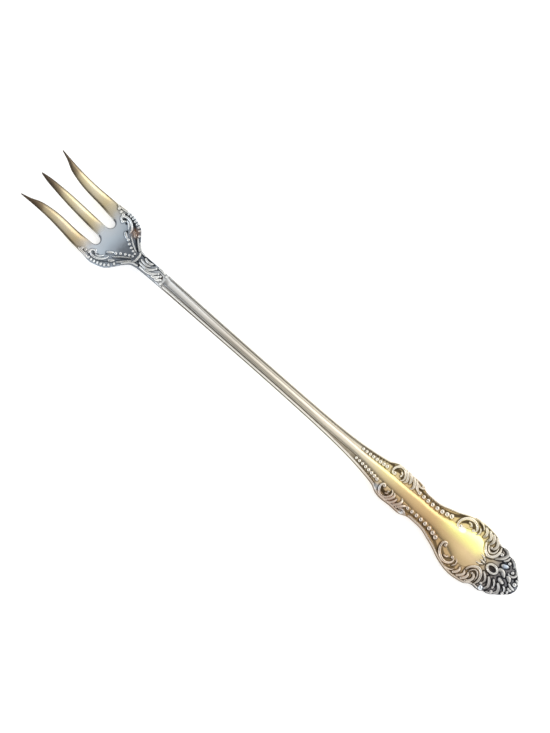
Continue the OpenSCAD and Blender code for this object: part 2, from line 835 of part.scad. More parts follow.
module shoulder_beads_shape() {
    balls(root_bead_shares, tine_end, bowl_length, head_width / 2, shoulder_bead_radius);
    row = across_section(neck_bead_shares, tine_end, bowl_length, head_width / 2);
    for (i = [0:len(row) - 1])
        bead(row[i].x, row[i].y, shoulder_bead_radius * (1 - (1 - least_bead_share) * i / (len(row) - 1)));
}

module shoulder_beads_left() {
    color("#b4b6b8") mirror([1, 0, 0]) shoulder_beads_shape();
}

module shoulder_beads_right() {
    color("#b4b6b8") shoulder_beads_shape();
}

module neck_leaves() {
    half = neck_width / 2;
    color("#a1a6ad") {
        ridges(neck_leaf_shares, bowl_end, neck_length, half, small_leaf_width, small_leaf_height);
        balls(
            neck_ball_shares, bowl_end, neck_length, half, shoulder_bead_radius * least_bead_share
        );
    }
}

tine_left();
tine_middle();
tine_right();
bowl();
neck();
stem();
handle();
crest();
shank();
panel();
stem_reed_left();
stem_reed_right();
waist_reed_left();
waist_reed_right();
stem_beads_left();
stem_beads_right();
handle_beads_left();
handle_beads_right();
waist_scroll_left();
waist_scroll_right();
end_scroll_left();
end_scroll_right();
crest_leaves_left();
crest_leaves_right();
crest_eyelet();
shoulder_border_left();
shoulder_border_right();
shoulder_scroll_left();
shoulder_scroll_right();
shoulder_beads_left();
shoulder_beads_right();
neck_leaves();
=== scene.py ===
"""Oyster fork of struck and toned silver, dressed on the frame of its CAD model.

A place on the fork is (x, s): x across from the middle line, s along from the tine tips, in millimetres.
face_at(x, s) is the height of the face that carries the relief. Every surface is a grid of points worked
out from that face as whole arrays. row_frame() turns places and heights into metres of the row frame.
"""
import math

import bpy
import numpy as np
from mathutils import Matrix, Vector


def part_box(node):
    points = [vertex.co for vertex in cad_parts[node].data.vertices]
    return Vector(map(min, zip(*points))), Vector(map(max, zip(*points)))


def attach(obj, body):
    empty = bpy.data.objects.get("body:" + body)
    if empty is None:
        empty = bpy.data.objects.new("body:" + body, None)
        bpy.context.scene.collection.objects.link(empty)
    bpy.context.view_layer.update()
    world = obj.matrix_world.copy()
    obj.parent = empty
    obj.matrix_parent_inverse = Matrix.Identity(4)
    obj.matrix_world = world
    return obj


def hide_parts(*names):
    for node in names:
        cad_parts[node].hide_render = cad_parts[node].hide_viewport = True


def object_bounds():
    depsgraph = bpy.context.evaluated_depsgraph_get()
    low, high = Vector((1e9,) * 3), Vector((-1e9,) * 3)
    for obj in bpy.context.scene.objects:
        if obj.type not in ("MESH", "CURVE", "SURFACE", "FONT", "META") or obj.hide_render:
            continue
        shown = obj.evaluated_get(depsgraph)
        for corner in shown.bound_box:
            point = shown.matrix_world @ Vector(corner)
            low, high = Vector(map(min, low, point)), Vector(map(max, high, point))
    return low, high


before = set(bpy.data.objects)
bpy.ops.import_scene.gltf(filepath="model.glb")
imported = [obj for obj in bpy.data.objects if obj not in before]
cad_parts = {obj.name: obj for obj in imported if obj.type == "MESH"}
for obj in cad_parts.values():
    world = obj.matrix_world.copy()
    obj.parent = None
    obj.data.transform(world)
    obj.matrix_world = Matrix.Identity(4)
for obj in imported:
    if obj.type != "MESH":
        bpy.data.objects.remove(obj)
cad_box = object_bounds()
MM = 0.001


def span(name):
    """Where a CAD node starts and ends along the fork, in millimetres from the tine tips."""
    low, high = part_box(name)
    return (cad_box[1].y - high.y) / MM, (cad_box[1].y - low.y) / MM


# Sections of the fork, measured from the tine tips
FORK_LENGTH = (cad_box[1].y - cad_box[0].y) / MM
TINE_END, BOWL_END = span("bowl")
NECK_END, STEM_END = span("stem")
PANEL_END = span("crest")[0]
WAIST_LENGTH = 10
WAIST_END = STEM_END + WAIST_LENGTH
SHANK_END = span("shank")[1]

# Driving sizes, in millimetres. The outline, rises and thicknesses are the CAD model's. The middle tine,
# slots, dish, reeds, beads and ridges are drawn a little finer or fuller than in it, inside its box
TINE_SPREAD, MIDDLE_TINE, SLOT = 15.2, 2.9, 2.5
HEAD_WIDTH, NECK_WIDTH, STEM_WIDTH = 15.8, 3.45, 3.3
WAIST_WIDTH, HANDLE_WIDTH, CREST_WIDTH = 9.5, 15.4, 11.6
TIP_RISE, STEM_RISE, BOWL_DISH, TINE_ROUND = 4.9, 1.8, 0.65, 0.42
TINE_THICK, BOWL_THICK, NECK_THICK = 1.4, 1.5, 2.5
STEM_THICK, HANDLE_THICK, CREST_THICK = 1.8, 1.5, 1.4
SHANK_CROWN, PANEL_CROWN = 0.5, 0.75
REED_WIDTH, REED_HEIGHT = 0.46, 0.36
THREAD_WIDTH, CURL_WIDTH, LEAF_WIDTH, SCROLL_HEIGHT = 0.68, 0.96, 1.05, 0.72
SMALL_LEAF_WIDTH, SMALL_LEAF_HEIGHT = 0.8, 0.42
STEM_BEAD, HANDLE_BEAD, SHOULDER_BEAD = 0.56, 0.7, 0.45
BEADS_IN_ROW, RIBS = 8, 8
SLOT_X = MIDDLE_TINE / 2 + SLOT / 2
REED_INSET = REED_WIDTH / 2 + 0.02
EDGE_THICK_SHARE, TINE_EDGE_THICK_SHARE = 0.8, 0.68
# How deep the foot of a relief element lies below the face, and how near it may come to the blank's edge
FOOT, EDGE_GAP = 0.12, 0.03
# Gap between the shank's end and the neck
SEAM = 0.01
# How far the panel reaches past the start of the crest
TONGUE_REACH = 0.9

SECTIONS = {
    "tine": (0, TINE_END),
    "bowl": (TINE_END, BOWL_END - TINE_END),
    "neck": (BOWL_END, NECK_END - BOWL_END),
    "stem": (NECK_END, STEM_END - NECK_END),
    "waist": (STEM_END, WAIST_END - STEM_END),
    "panel": (WAIST_END, PANEL_END - WAIST_END),
    "handle": (STEM_END, PANEL_END - STEM_END),
    "crest": (PANEL_END, FORK_LENGTH - PANEL_END),
}


def placed(*parts):
    """Tables of shares, each with its section and size, as one table of [s, value] in millimetres."""
    return np.array([
        (SECTIONS[section][0] + SECTIONS[section][1] * place, size * value)
        for section, size, shares in parts
        for place, value in shares
    ])


# Half width of the blank, height of its back, thickness, half width of the crowned rib, and depth of the
# dish, each along the fork. smooth() draws a curve through each table
EDGE = placed(
    ("tine", TINE_SPREAD / 2, [
        (0, 1), (0.12, 0.973), (0.24, 0.95), (0.42, 0.934), (0.6, 0.946), (0.8, 0.98)]),
    ("bowl", HEAD_WIDTH / 2, [
        (0, 0.965), (0.16, 0.998), (0.27, 0.99), (0.47, 0.905), (0.58, 0.815), (0.685, 0.635), (0.79, 0.435),
        (0.895, 0.285)]),
    ("neck", NECK_WIDTH / 2, [(0, 1.08), (0.2, 1), (0.85, 1)]),
    ("stem", STEM_WIDTH / 2, [
        (0, 1.05), (0.3, 1), (0.46, 1), (0.63, 1.06), (0.73, 1.15), (0.8, 1.27), (0.87, 1.5), (0.936, 1.87),
        (0.98, 2.25)]),
    ("waist", WAIST_WIDTH / 2, [(0.03, 0.96), (0.2, 1.035), (0.5, 1.0), (0.78, 1.0), (0.9, 0.92)]),
    ("panel", HANDLE_WIDTH / 2, [
        (0, 0.51), (0.08, 0.495), (0.235, 0.515), (0.355, 0.615), (0.475, 0.723), (0.595, 0.865),
        (0.715, 0.96), (0.835, 1), (0.955, 0.97)]),
    ("crest", CREST_WIDTH / 2, [
        (0.06, 1.22), (0.15, 1.1), (0.23, 1.05), (0.33, 1.06), (0.41, 1.03), (0.465, 0.95), (0.55, 0.92),
        (0.63, 0.85), (0.69, 0.755), (0.76, 0.65), (0.83, 0.54), (0.88, 0.43), (0.94, 0.32), (1, 0.14)]),
)
UNDER = placed(
    ("tine", TIP_RISE, [(0, 1), (0.3, 0.67), (0.6, 0.35), (0.85, 0.105)]),
    ("bowl", STEM_RISE, [(0, 0.015), (0.27, -0.05), (0.54, 0.12), (0.77, 0.4)]),
    ("neck", STEM_RISE, [(0, 0.7), (0.5, 0.9)]),
    ("stem", STEM_RISE, [(0, 0.98), (0.12, 1), (0.5, 0.72), (0.75, 0.45)]),
    ("waist", STEM_RISE, [(0, 0.24)]),
    ("panel", STEM_RISE, [(0, 0.13), (0.5, 0.02), (0.8, -0.05)]),
    ("crest", STEM_RISE, [(0, 0), (0.35, 0.12), (0.62, 0.26), (1, 0.5)]),
)
THICK = placed(
    ("tine", TINE_THICK, [(0, 0.36), (0.3, 0.8), (0.6, 1), (0.85, 1.05)]),
    ("bowl", BOWL_THICK, [(0, 1), (0.5, 1.1), (0.8, 1.4)]),
    ("neck", NECK_THICK, [(0, 0.93), (0.5, 1.02)]),
    ("stem", STEM_THICK, [(0, 1.3), (0.2, 1.05), (0.5, 1), (0.8, 0.93)]),
    ("handle", HANDLE_THICK, [(0, 1.08), (0.5, 1), (0.9, 0.96)]),
    ("crest", CREST_THICK, [(0.1, 1), (0.75, 1), (1, 0.55)]),
)
RIB = placed(
    ("stem", STEM_WIDTH / 2, [
        (0, 0.62), (0.3, 0.53), (0.57, 0.55), (0.8, 0.64), (0.885, 0.64), (0.96, 0.85)]),
    ("waist", WAIST_WIDTH / 2, [(0, 0.325), (0.35, 0.335), (0.65, 0.35), (0.9, 0.38)]),
    ("panel", 1, [
        (0, 1.9), (0.14, 1.85), (0.22, 1.9), (0.3, 2.05), (0.38, 2.35), (0.45, 2.7), (0.52, 2.9),
        (0.58, 3.15), (0.65, 3.7), (0.73, 4.25), (0.8, 4.5), (0.87, 4.4), (0.93, 3.9), (0.98, 3.1),
        (1.02, 2.2), (1.07, 1.1), (1.1, 0.2)]),
)
DISH = placed(
    ("tine", BOWL_DISH, [(0, 1), (0.5, 1.05)]),
    ("bowl", BOWL_DISH, [(0, 1), (0.4, 0.9), (0.75, 0.35), (1, 0)]),
)
# Width of a tine along it, as shares of its width at the head
MIDDLE_TINE_SHARES = [
    (0, 0.11), (0.12, 0.44), (0.24, 0.62), (0.36, 0.76), (0.48, 0.86), (0.6, 0.92), (0.8, 0.97), (1, 1)]
OUTER_TINE_SHARES = [
    (0, 0.07), (0.12, 0.24), (0.24, 0.5), (0.36, 0.63), (0.48, 0.72), (0.6, 0.78), (0.72, 0.825),
    (0.9, 0.935), (1, 1)]
# Height of the crown along the shank and along the panel, as shares
SHANK_CROWNS = [(0, 0.35), (0.02, 0.9), (0.5, 0.9), (1, 1)]
PANEL_CROWNS = [(0, 0.667), (0.3, 0.56), (0.6, 0.6), (0.78, 0.92), (0.88, 0.82), (1, 0.2)]

# Middle lines of the ridges of the right side, as [s, x] in millimetres
WAIST_CURLS = [
    [(111.6, 1.7), (110.9, 1.8), (110.5, 2.4), (110.7, 3.3), (111.4, 4.15), (112.4, 4.4), (113.4, 3.9),
     (114.0, 2.85), (113.9, 1.95), (113.3, 1.5)],
    [(112.9, 4.6), (113.9, 4.1), (114.6, 3.2), (114.8, 2.35), (114.3, 1.65)],
    [(114.1, 4.6), (115.0, 4.1), (115.6, 3.2), (115.7, 2.3)],
]
WAIST_THREADS = [
    [(112.3, 3.45), (112.9, 3.15), (113.1, 2.6)],
    [(117.3, 4.1), (117.9, 3.65), (118.7, 3.6), (119.3, 3.95), (119.2, 4.4), (118.6, 4.5)],
]
WAIST_LEAVES = [
    [(115.2, 4.5), (116.2, 3.9), (116.9, 2.9), (117.0, 2.0), (116.5, 1.5)],
    [(116.5, 4.35), (117.3, 3.5), (118.1, 2.65), (118.8, 2.3)],
]
# Beads on the scrolls, as [s, x, radius]
WAIST_BALLS = [(111.35, 2.05, 0.5), (118.65, 4.15, 0.36), (112.95, 2.5, 0.34)]
END_CURLS = [
    [(132.2, 2.8), (131.7, 2.4), (131.1, 2.65), (130.9, 3.4), (131.1, 4.4), (131.8, 5.4), (132.9, 6.1),
     (134.1, 6.25), (135.1, 5.75), (135.6, 4.95), (135.4, 4.25), (134.9, 3.95)],
    [(139.2, 4.4), (139.6, 3.3), (140.4, 2.4), (141.4, 1.95), (142.4, 2.3), (143.1, 3.3), (143.3, 4.6),
     (142.9, 5.8)],
]
END_THREADS = [
    [(132.7, 5.2), (133.6, 5.15), (134.2, 4.75)],
    [(135.9, 6.0), (136.5, 5.2), (136.4, 4.3), (135.8, 3.75)],
    [(133.4, 7.15), (134.9, 7.25), (136.4, 6.8), (137.0, 6.0)],
    [(140.1, 4.3), (140.5, 3.4), (141.3, 2.85), (142.1, 3.2), (142.5, 4.1), (142.5, 5.2)],
]
END_LEAVES = [
    [(136.9, 7.05), (137.7, 6.4), (138.1, 5.5), (137.8, 4.65)],
    [(138.1, 7.05), (139.0, 6.35), (139.5, 5.45), (139.1, 4.5)],
    [(139.3, 6.95), (140.2, 6.15), (140.5, 5.2), (140.1, 4.3)],
    [(140.5, 6.75), (141.5, 5.95), (141.9, 5.0), (141.6, 4.1), (140.9, 3.8)],
]
END_BALLS = [(131.85, 3.05, 0.5), (134.95, 4.2, 0.48), (133.9, 4.85, 0.34), (141.0, 4.0, 0.36)]
# The leaves of the crest aren't alike on both sides, so the left ones are given apart
CREST_CURLS = {
    1: [[(143.3, 6.0), (144.5, 5.9), (145.2, 5.2), (145.0, 4.1), (144.2, 3.2), (143.2, 2.4)],
        [(146.2, 5.2), (147.3, 4.9), (148.1, 4.2), (148.1, 3.5)]],
    -1: [[(144.5, 1.9), (145.5, 3.0), (145.9, 4.2), (145.3, 5.1)],
         [(147.1, 1.7), (148.2, 2.7), (148.4, 3.7), (147.8, 4.4)]],
}
CREST_LEAVES = {
    1: [[(145.3, 1.0), (146.5, 1.2), (147.8, 0.25)], [(147.9, 1.0), (148.8, 0.8), (149.5, 0.1)],
        [(145.3, 2.2), (146.3, 2.6), (147.3, 3.0)]],
    -1: [[(146.6, 0.55), (147.6, 1.0), (148.6, 1.0)]],
}
CREST_THREADS = {
    1: [[(149.0, 3.4), (149.7, 2.8), (149.5, 1.9), (148.6, 1.5), (147.7, 1.8)],
        [(145.2, 3.3), (145.9, 4.1), (146.1, 5.1)], [(150.2, 1.6), (150.9, 1.5), (151.4, 0.9)]],
    -1: [[(142.9, 1.7), (143.9, 2.5), (144.5, 3.4), (144.3, 4.3)], [(145.8, 1.6), (146.7, 2.5), (147.1, 3.3)],
         [(148.6, 1.5), (149.5, 2.0), (149.6, 2.7)], [(146.1, 5.5), (146.9, 5.2), (147.4, 4.9)],
         [(149.7, 1.15), (150.5, 1.3), (151.2, 1.0)], [(142.6, 5.8), (143.5, 6.0), (144.4, 5.9)]],
}
CREST_BALLS = {
    1: [(144.1, 4.35, 0.52), (146.8, 3.85, 0.5), (148.7, 2.5, 0.48), (150.7, 0.6, 0.58)],
    -1: [(144.7, 5.4, 0.66), (144.2, 4.5, 0.42), (147.0, 3.5, 0.38), (147.3, 4.5, 0.5), (149.6, 3.0, 0.44),
         (150.4, 2.0, 0.38)],
}
# The tongues run from the panel to the eyelet, and the tip leaf lies a little left of the middle line
CREST_TONGUES = [
    [(139.9, 1.15), (140.9, 0.95), (141.9, 0.45)],
    [(140.4, 0.0), (141.3, 0.0), (142.2, 0.0)],
]
CREST_TIP = [(149.3, -0.1), (150.3, -0.5), (151.6, -0.45)]
EYELET_PLACE, EYELET_LENGTH, EYELET_WIDTH = 144.2, 1.35, 1.0
SHOULDER_CURLS = [
    [(21.8, 5.0), (21.1, 5.25), (20.9, 5.9), (21.7, 6.4), (23.0, 6.3), (24.2, 5.55), (24.9, 4.6),
     (25.0, 3.75)],
]
SHOULDER_THREADS = [
    [(22.3, 5.75), (23.0, 5.6), (23.7, 4.95), (24.1, 4.3)],
    [(25.7, 3.5), (26.7, 2.75), (27.7, 2.0), (29.5, 0.95)],
    [(27.3, 4.1), (28.0, 3.35), (28.8, 2.6), (30.0, 1.45)],
]
SHOULDER_LEAVES = [
    [(23.9, 3.5), (24.6, 2.9), (25.4, 2.35)],
    [(25.4, 4.9), (26.1, 4.5), (26.8, 3.8)],
]
ROOT_BEADS = [(19.0, 6.8), (19.9, 6.5), (20.8, 6.35)]
SHOULDER_BALLS = [(21.75, 4.95, 0.45), (22.1, 5.35, 0.3)]
NECK_BEADS = [(25.9, 2.3), (26.8, 1.6), (27.8, 1.08), (28.7, 0.68), (29.5, 0.4)]
# First and last rib of the shoulder as shares of the head, and the places along a rib as shares of its width
RIB_START, RIB_END, RIB_REACH = 0.16, 0.69, (0.12, 0.65, 1.2)
# Leaves and beads of the neck, as shares of its length and half width
NECK_LEAVES = [
    [(-0.12, 0.95), (-0.07, 0.4), (-0.07, -0.4), (-0.12, -0.95)],
    [(0.1, 0.66), (0.22, 0.44), (0.34, 0.48), (0.43, 0.72)],
    [(0.02, 0.2), (0.14, 0.02), (0.28, -0.02), (0.4, 0.2)],
    [(0.04, -0.36), (0.22, -0.44), (0.37, -0.42), (0.49, -0.06), (0.57, 0.42)],
    [(0.13, -0.8), (0.34, -0.8), (0.52, -0.62), (0.64, -0.24), (0.71, 0.08)],
    [(0.58, -0.8), (0.7, -0.58), (0.81, -0.02)],
    [(0.72, -0.82), (0.82, -0.6), (0.92, -0.2)],
    [(0.6, 0.78), (0.75, 0.82), (0.9, 0.7)],
]
NECK_BALLS = [(0.57, 0.44), (0.72, 0.1), (0.82, 0), (0.96, 0.5), (0.96, -0.75)]
# Paths of the graded bead rows, and the smallest bead as a share of the largest
STEM_BEAD_ROW = [(101.8, 1.42), (104.2, 1.55), (106.6, 1.75), (108.9, 2.02)]
HANDLE_BEAD_ROW = [(119.1, 2.42), (121.0, 2.35), (123.0, 2.35), (125.0, 2.48), (127.0, 2.8), (128.7, 3.3)]
LEAST_BEAD = 0.76

# Width and height of each kind of ridge, in millimetres
HANDLE_LEAF = (LEAF_WIDTH, SCROLL_HEIGHT)
FINE_THREAD = (THREAD_WIDTH, SCROLL_HEIGHT * 0.8)
WAIST_CURL = (CURL_WIDTH * 1.05, SCROLL_HEIGHT)
END_CURL = (CURL_WIDTH * 1.15, SCROLL_HEIGHT)
END_THREAD = (THREAD_WIDTH, SCROLL_HEIGHT * 0.85)
CREST_CURL = (CURL_WIDTH * 1.2, SCROLL_HEIGHT * 1.1)
CREST_LEAF = (LEAF_WIDTH * 1.3, SCROLL_HEIGHT)
CREST_THREAD = (CURL_WIDTH * 0.95, SCROLL_HEIGHT * 0.9)
CREST_TIP_LEAF = (CURL_WIDTH * 0.9, SCROLL_HEIGHT)
SMALL_LEAF = (SMALL_LEAF_WIDTH, SMALL_LEAF_HEIGHT)
SHOULDER_THREAD = (SMALL_LEAF_WIDTH * 0.75, SMALL_LEAF_HEIGHT)
SHOULDER_LEAF = (SMALL_LEAF_WIDTH * 1.1, SMALL_LEAF_HEIGHT)
SCROLL_REED = (REED_WIDTH * 0.9, REED_HEIGHT)
RIDGE_WIDTHS = [(0, 0.62), (0.12, 0.85), (0.45, 1), (0.8, 0.84), (1, 0.35)]
RIDGE_HEIGHTS = [(0, 0.7), (0.15, 1), (0.7, 0.92), (1, 0.45)]
# Where the reeds along the edge start and end, in millimetres from the tine tips, and in how many rings
STEM_REED = (NECK_END + REED_WIDTH, STEM_END - 0.8, 260)
WAIST_REED = (WAIST_END, 128.3, 60)
WAIST_SCROLL_REED = (109.4, WAIST_END - 0.4, 60)
END_SCROLL_REED = (127.7, PANEL_END + 2.6, 120)
CREST_REED = (146.4, 151.2, 60)
SHOULDER_REED = (
    TINE_END + (BOWL_END - TINE_END) * RIB_END + SMALL_LEAF_WIDTH, BOWL_END + SMALL_LEAF_WIDTH, 40)
ROOT_REED = (TINE_END - 1.6, TINE_END + 1.9, 24)
# Darkness laid on the reeds of the handle, on the lobes of the crest and on its reed: painted shade, kept in
# the oxide attribute
REED_DULL, CREST_DULL, CREST_REED_DULL = 0.2, 0.5, 0.35


# Curves and heights

def smooth(table, place):
    """Cubic through a table of [place, value]: each entry's slope is that of the chord between its
    neighbours, and at both ends that of the end step."""
    table = np.asarray(table, float)
    x, y = table.T
    slope = np.gradient(y)
    slope[1:-1] = (y[2:] - y[:-2]) / (x[2:] - x[:-2])
    slope[0], slope[-1] = (y[1] - y[0]) / (x[1] - x[0]), (y[-1] - y[-2]) / (x[-1] - x[-2])
    i = np.clip(np.searchsorted(x, place, side="right") - 1, 0, len(x) - 2)
    gap = x[i + 1] - x[i]
    u = (place - x[i]) / gap
    rise_a, rise_b, a, b = slope[i] * gap, slope[i + 1] * gap, y[i], y[i + 1]
    return (a + u * rise_a + u**2 * (3 * (b - a) - 2 * rise_a - rise_b)
            + u**3 * (2 * (a - b) + rise_a + rise_b))


def face_at(x, s):
    """Height of the face: the underside plus the thickness, and in the head a dish of |x / edge| cubed."""
    dish = np.where(s < BOWL_END, smooth(DISH, np.minimum(s, BOWL_END)), 0)
    return smooth(UNDER, s) + smooth(THICK, s) + dish * np.abs(x / smooth(EDGE, s)) ** 3


def row_frame(x, s, z):
    """Points in metres of the row frame, from millimetres across, along from the tips, and up."""
    return np.stack(np.broadcast_arrays(x, FORK_LENGTH / 2 - s, z), axis=-1) * MM


def rounding(distance, radius):
    """How far an edge of that radius has dropped at a distance from it: a quarter circle, 0 past it."""
    k = np.clip(1 - distance / radius, 0, 1)
    return radius * (1 - np.sqrt(1 - k**2))


def ease(low, high, value):
    """0 below low, 1 above high, and 3t^2 - 2t^3 between them."""
    t = np.clip((value - low) / (high - low), 0, 1)
    return t * t * (3 - 2 * t)


def within(grows, fades, value):
    """1 inside a stretch and 0 outside it: it eases up over the first pair and down over the second."""
    return ease(*grows, value) * ease(*fades[::-1], value)


def path_points(places, steps):
    """Smooth path through [s, x] places: a cubic from each to the next, along the chords around them."""
    p = np.asarray(places, float)
    turn = np.gradient(p, axis=0)
    u = np.linspace(0, len(p) - 1, steps)
    i = np.minimum(u.astype(int), len(p) - 2)
    t = (u - i)[:, None]
    a, b, turn_a, turn_b = p[i], p[i + 1], turn[i], turn[i + 1]
    return (a + t * turn_a + t**2 * (3 * (b - a) - 2 * turn_a - turn_b)
            + t**3 * (2 * (a - b) + turn_a + turn_b))


def section_places(section, half, shares):
    """Shares of a section's length and half width as [s, x] places in millimetres."""
    start, length = SECTIONS[section]
    shares = np.asarray(shares, float)
    return np.stack([start + length * shares[..., 0], half * shares[..., 1]], axis=-1)


# Skins: closed shells of points in millimetres with a depth of oxide and of painted shade at each point

# Where relief stands on each side, gathered as it is made
RELIEF = {1: [], -1: []}
SIDE_NAMES = {1: "right", -1: "left"}
# Deep recesses of the neck, whose leaves aren't alike on both sides
NECK_RECESSES = [
    [(31.2, -0.6, 0.1), (32.8, -1.05, 0.13), (34.0, -0.9, 0.14), (35.0, -0.25, 0.14), (35.7, 0.55, 0.14),
     (36.2, 1.0, 0.12)],
    [(33.3, 0.75, 0.12), (34.0, 1.0, 0.22), (34.7, 1.05, 0.12)],
    [(36.6, -0.85, 0.1), (37.2, -0.25, 0.12)],
    [(37.8, -0.75, 0.1), (38.3, -0.1, 0.12)],
    [(37.1, 0.35, 0.14), (38.1, 0.2, 0.14)],
]
# Painted shade: a brown band on the left of the shank only, before the beads, laid like a recess
LEFT_SHANK_SHADE = [[(88.0, 1.0, 0.0), (94.0, 1.2, 0.15), (98.0, 1.35, 0.3), (101.5, 1.35, 0.25)]]
# Deep recesses of the right side, as [s, x, half width] places in millimetres
RECESSES = [
    [(21.2, 6.85, 0.1), (22.3, 6.95, 0.14), (23.6, 6.7, 0.16), (24.8, 5.95, 0.16), (25.6, 5.2, 0.12)],
    [(21.5, 5.45, 0.12), (22.0, 5.8, 0.2), (22.8, 5.2, 0.1)],
    [(24.2, 3.8, 0.15), (24.4, 3.5, 0.1)],
    [(27.1, 3.7, 0.06), (28.2, 2.5, 0.08), (29.6, 1.35, 0.06)],
    [(30.4, 1.6, 0.12), (31.6, 1.4, 0.16), (33.0, 1.25, 0.14), (35.0, 1.25, 0.06)],
    [(88.0, 1.2, 0.05), (94.0, 1.35, 0.1), (98.0, 1.55, 0.14), (101.5, 1.9, 0.16), (105.0, 2.25, 0.16),
     (109.6, 3.35, 0.2), (110.3, 3.1, 0.2)],
    [(111.0, 2.8, 0.15), (111.6, 3.15, 0.3), (112.4, 3.2, 0.25), (113.0, 2.9, 0.12)],
    [(113.4, 2.5, 0.2), (113.55, 2.1, 0.15)],
    [(117.2, 2.6, 0.12), (118.2, 3.2, 0.12), (119.4, 3.2, 0.15), (121.0, 2.9, 0.2), (124.0, 3.0, 0.22),
     (127.0, 3.45, 0.24), (129.2, 4.2, 0.28), (130.4, 5.0, 0.25), (131.4, 6.0, 0.15), (132.4, 6.75, 0.12)],
    [(131.6, 4.1, 0.12), (132.2, 4.75, 0.24), (133.0, 5.15, 0.28), (134.0, 5.25, 0.28), (134.7, 4.9, 0.2)],
    [(135.2, 6.8, 0.2), (136.2, 6.5, 0.25), (136.7, 5.8, 0.15)],
    [(140.9, 3.3, 0.2), (141.6, 3.5, 0.25), (142.1, 4.4, 0.15)],
    [(143.8, 0.0, 0.15), (144.2, 0.0, 0.22), (144.6, 0.0, 0.15)],
]

# How dark the ground is beside relief and in recesses: millimetres from the tine tips and depth of oxide
BESIDE_RELIEF = [
    (39, 0.48), (42, 0.85), (98, 0.85), (106, 0.66), (116, 0.5), (129, 0.5), (133, 0.6), (140, 0.66),
    (144, 0.95),
]
IN_RECESSES = [(60, 0.95), (86, 0.6), (100, 0.6), (106, 0.95)]


def skin(points, oxide_and_shade, caps="fan", endless=False):
    """A closed shell from rings of points [ring, point, (x, s, z)], joined by quads.

    Each ring runs from its right side over the top to the left and back under. caps says how the two
    ends close: "fan" by one face each, "ladder" by strips between the ring's upper and lower half."""
    rings, count = points.shape[:2]
    i, j = np.meshgrid(np.arange(rings if endless else rings - 1), np.arange(count), indexing="ij")
    after, beside = (i + 1) % rings, (j + 1) % count
    quads = np.stack([i * count + j, i * count + beside, after * count + beside, after * count + j], axis=-1)
    faces = [quads.reshape(-1, 4)]
    rim = np.zeros(rings * count, int)
    if not endless:
        last = (rings - 1) * count
        rim[:count], rim[last:] = 1, 2
        if caps == "ladder":
            k = np.arange(count // 2 - 1)
            strip = np.stack([k, count - 1 - k, count - 2 - k, k + 1], axis=-1)
            faces += [strip, strip[:, ::-1] + last]
        else:
            faces += [np.arange(count)[None, ::-1], (np.arange(count) + last)[None]]
    return {"points": points.reshape(-1, 3), "oxide_and_shade": np.broadcast_to(oxide_and_shade, points.shape[:2]).ravel(),
            "faces": faces, "rim": rim}


def mirrored(shape):
    """The same skin on the other side: x changes sign and every face turns round to stay outward."""
    return {**shape, "points": shape["points"] * (-1, 1, 1), "faces": [f[:, ::-1] for f in shape["faces"]]}


def piece(node, material, shapes):
    """One Blender object from skins. It stands for a CAD node and rides on its body."""
    first = np.cumsum([0] + [len(shape["points"]) for shape in shapes])
    faces = [f + first[k] for k, shape in enumerate(shapes) for f in shape["faces"]]
    lengths = np.concatenate([np.full(len(f), f.shape[1]) for f in faces])
    corners = np.concatenate([f.ravel() for f in faces])
    points = np.concatenate([shape["points"] for shape in shapes])
    mesh = bpy.data.meshes.new(f"{node}_surface")
    mesh.vertices.add(len(points))
    mesh.vertices.foreach_set("co", row_frame(*points.T).ravel())
    mesh.loops.add(len(corners))
    mesh.loops.foreach_set("vertex_index", corners.astype(np.int32))
    mesh.polygons.add(len(lengths))
    mesh.polygons.foreach_set("loop_start", np.cumsum(np.r_[0, lengths[:-1]]).astype(np.int32))
    mesh.update(calc_edges=True)
    mesh.shade_smooth()
    oxide_and_shade = mesh.attributes.new("oxide_and_shade", "FLOAT", "POINT")
    oxide_and_shade.data.foreach_set("value", np.concatenate([s["oxide_and_shade"] for s in shapes]).astype(np.float32))
    rim = np.concatenate([np.where(s["rim"], s["rim"] + 3 * k, 0) for k, s in enumerate(shapes)])
    ends = np.zeros(len(mesh.edges) * 2, np.int32)
    mesh.edges.foreach_get("vertices", ends)
    a, b = rim[ends[::2]], rim[ends[1::2]]
    sharp = mesh.attributes.new("sharp_edge", "BOOLEAN", "EDGE")
    sharp.data.foreach_set("value", (a == b) & (a > 0))
    mesh.materials.append(material)
    made = bpy.data.objects.new(mesh.name, mesh)
    bpy.context.scene.collection.objects.link(made)
    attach(made, "root")
    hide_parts(node)
    return made


def pair(name, material, shapes):
    """The right piece from its skins, and the left one mirrored from them."""
    piece(f"{name}_right", material, shapes)
    piece(f"{name}_left", material, [mirrored(shape) for shape in shapes])


def note_relief(places, half_widths, sides=(1, -1)):
    """Keeps where relief stands, as [s, x, half width], so that the ground can darken round it."""
    rows = np.column_stack([places, np.broadcast_to(half_widths, len(places))])
    for side in sides:
        RELIEF[side].append(rows)


# Relief elements

# Share of a ridge's height, or a reed's, from which it is bright: below that, oxide thins out upwards
RIDGE_BRIGHT, REED_BRIGHT = 0.45, 0.5
# Ends of a ridge or reed are rounded off over these shares of its half width and its width
RIDGE_END, REED_END = 0.8, 1.5
# A little length before a path's first ring and after its last, so that neither closes to a point
END_RING = 0.02
# Share of a ridge's rounded end over which it turns bright
END_BRIGHT = (0.2, 0.8)
VEIN_DEPTH = 0.16
# A bead: lowest and highest angle of its ball, how far its middle stands above the face as a share of its
# radius, where oxide is full and gone by the same measure, and how wide it counts for the ground beside it
BEAD_ANGLES, BEAD_LIFT, BEAD_BRIGHT, BEAD_REACH = (-0.5, 0.48 * math.pi), 0.25, (-0.1, 0.32), 0.95
# The line along a dull ridge that is kept bright: how far from the middle it lies, and where the painted
# shade starts beside it and is full
KEPT_BRIGHT_LINE, KEPT_BRIGHT_REACH = 0.15, (0.05, 0.5)


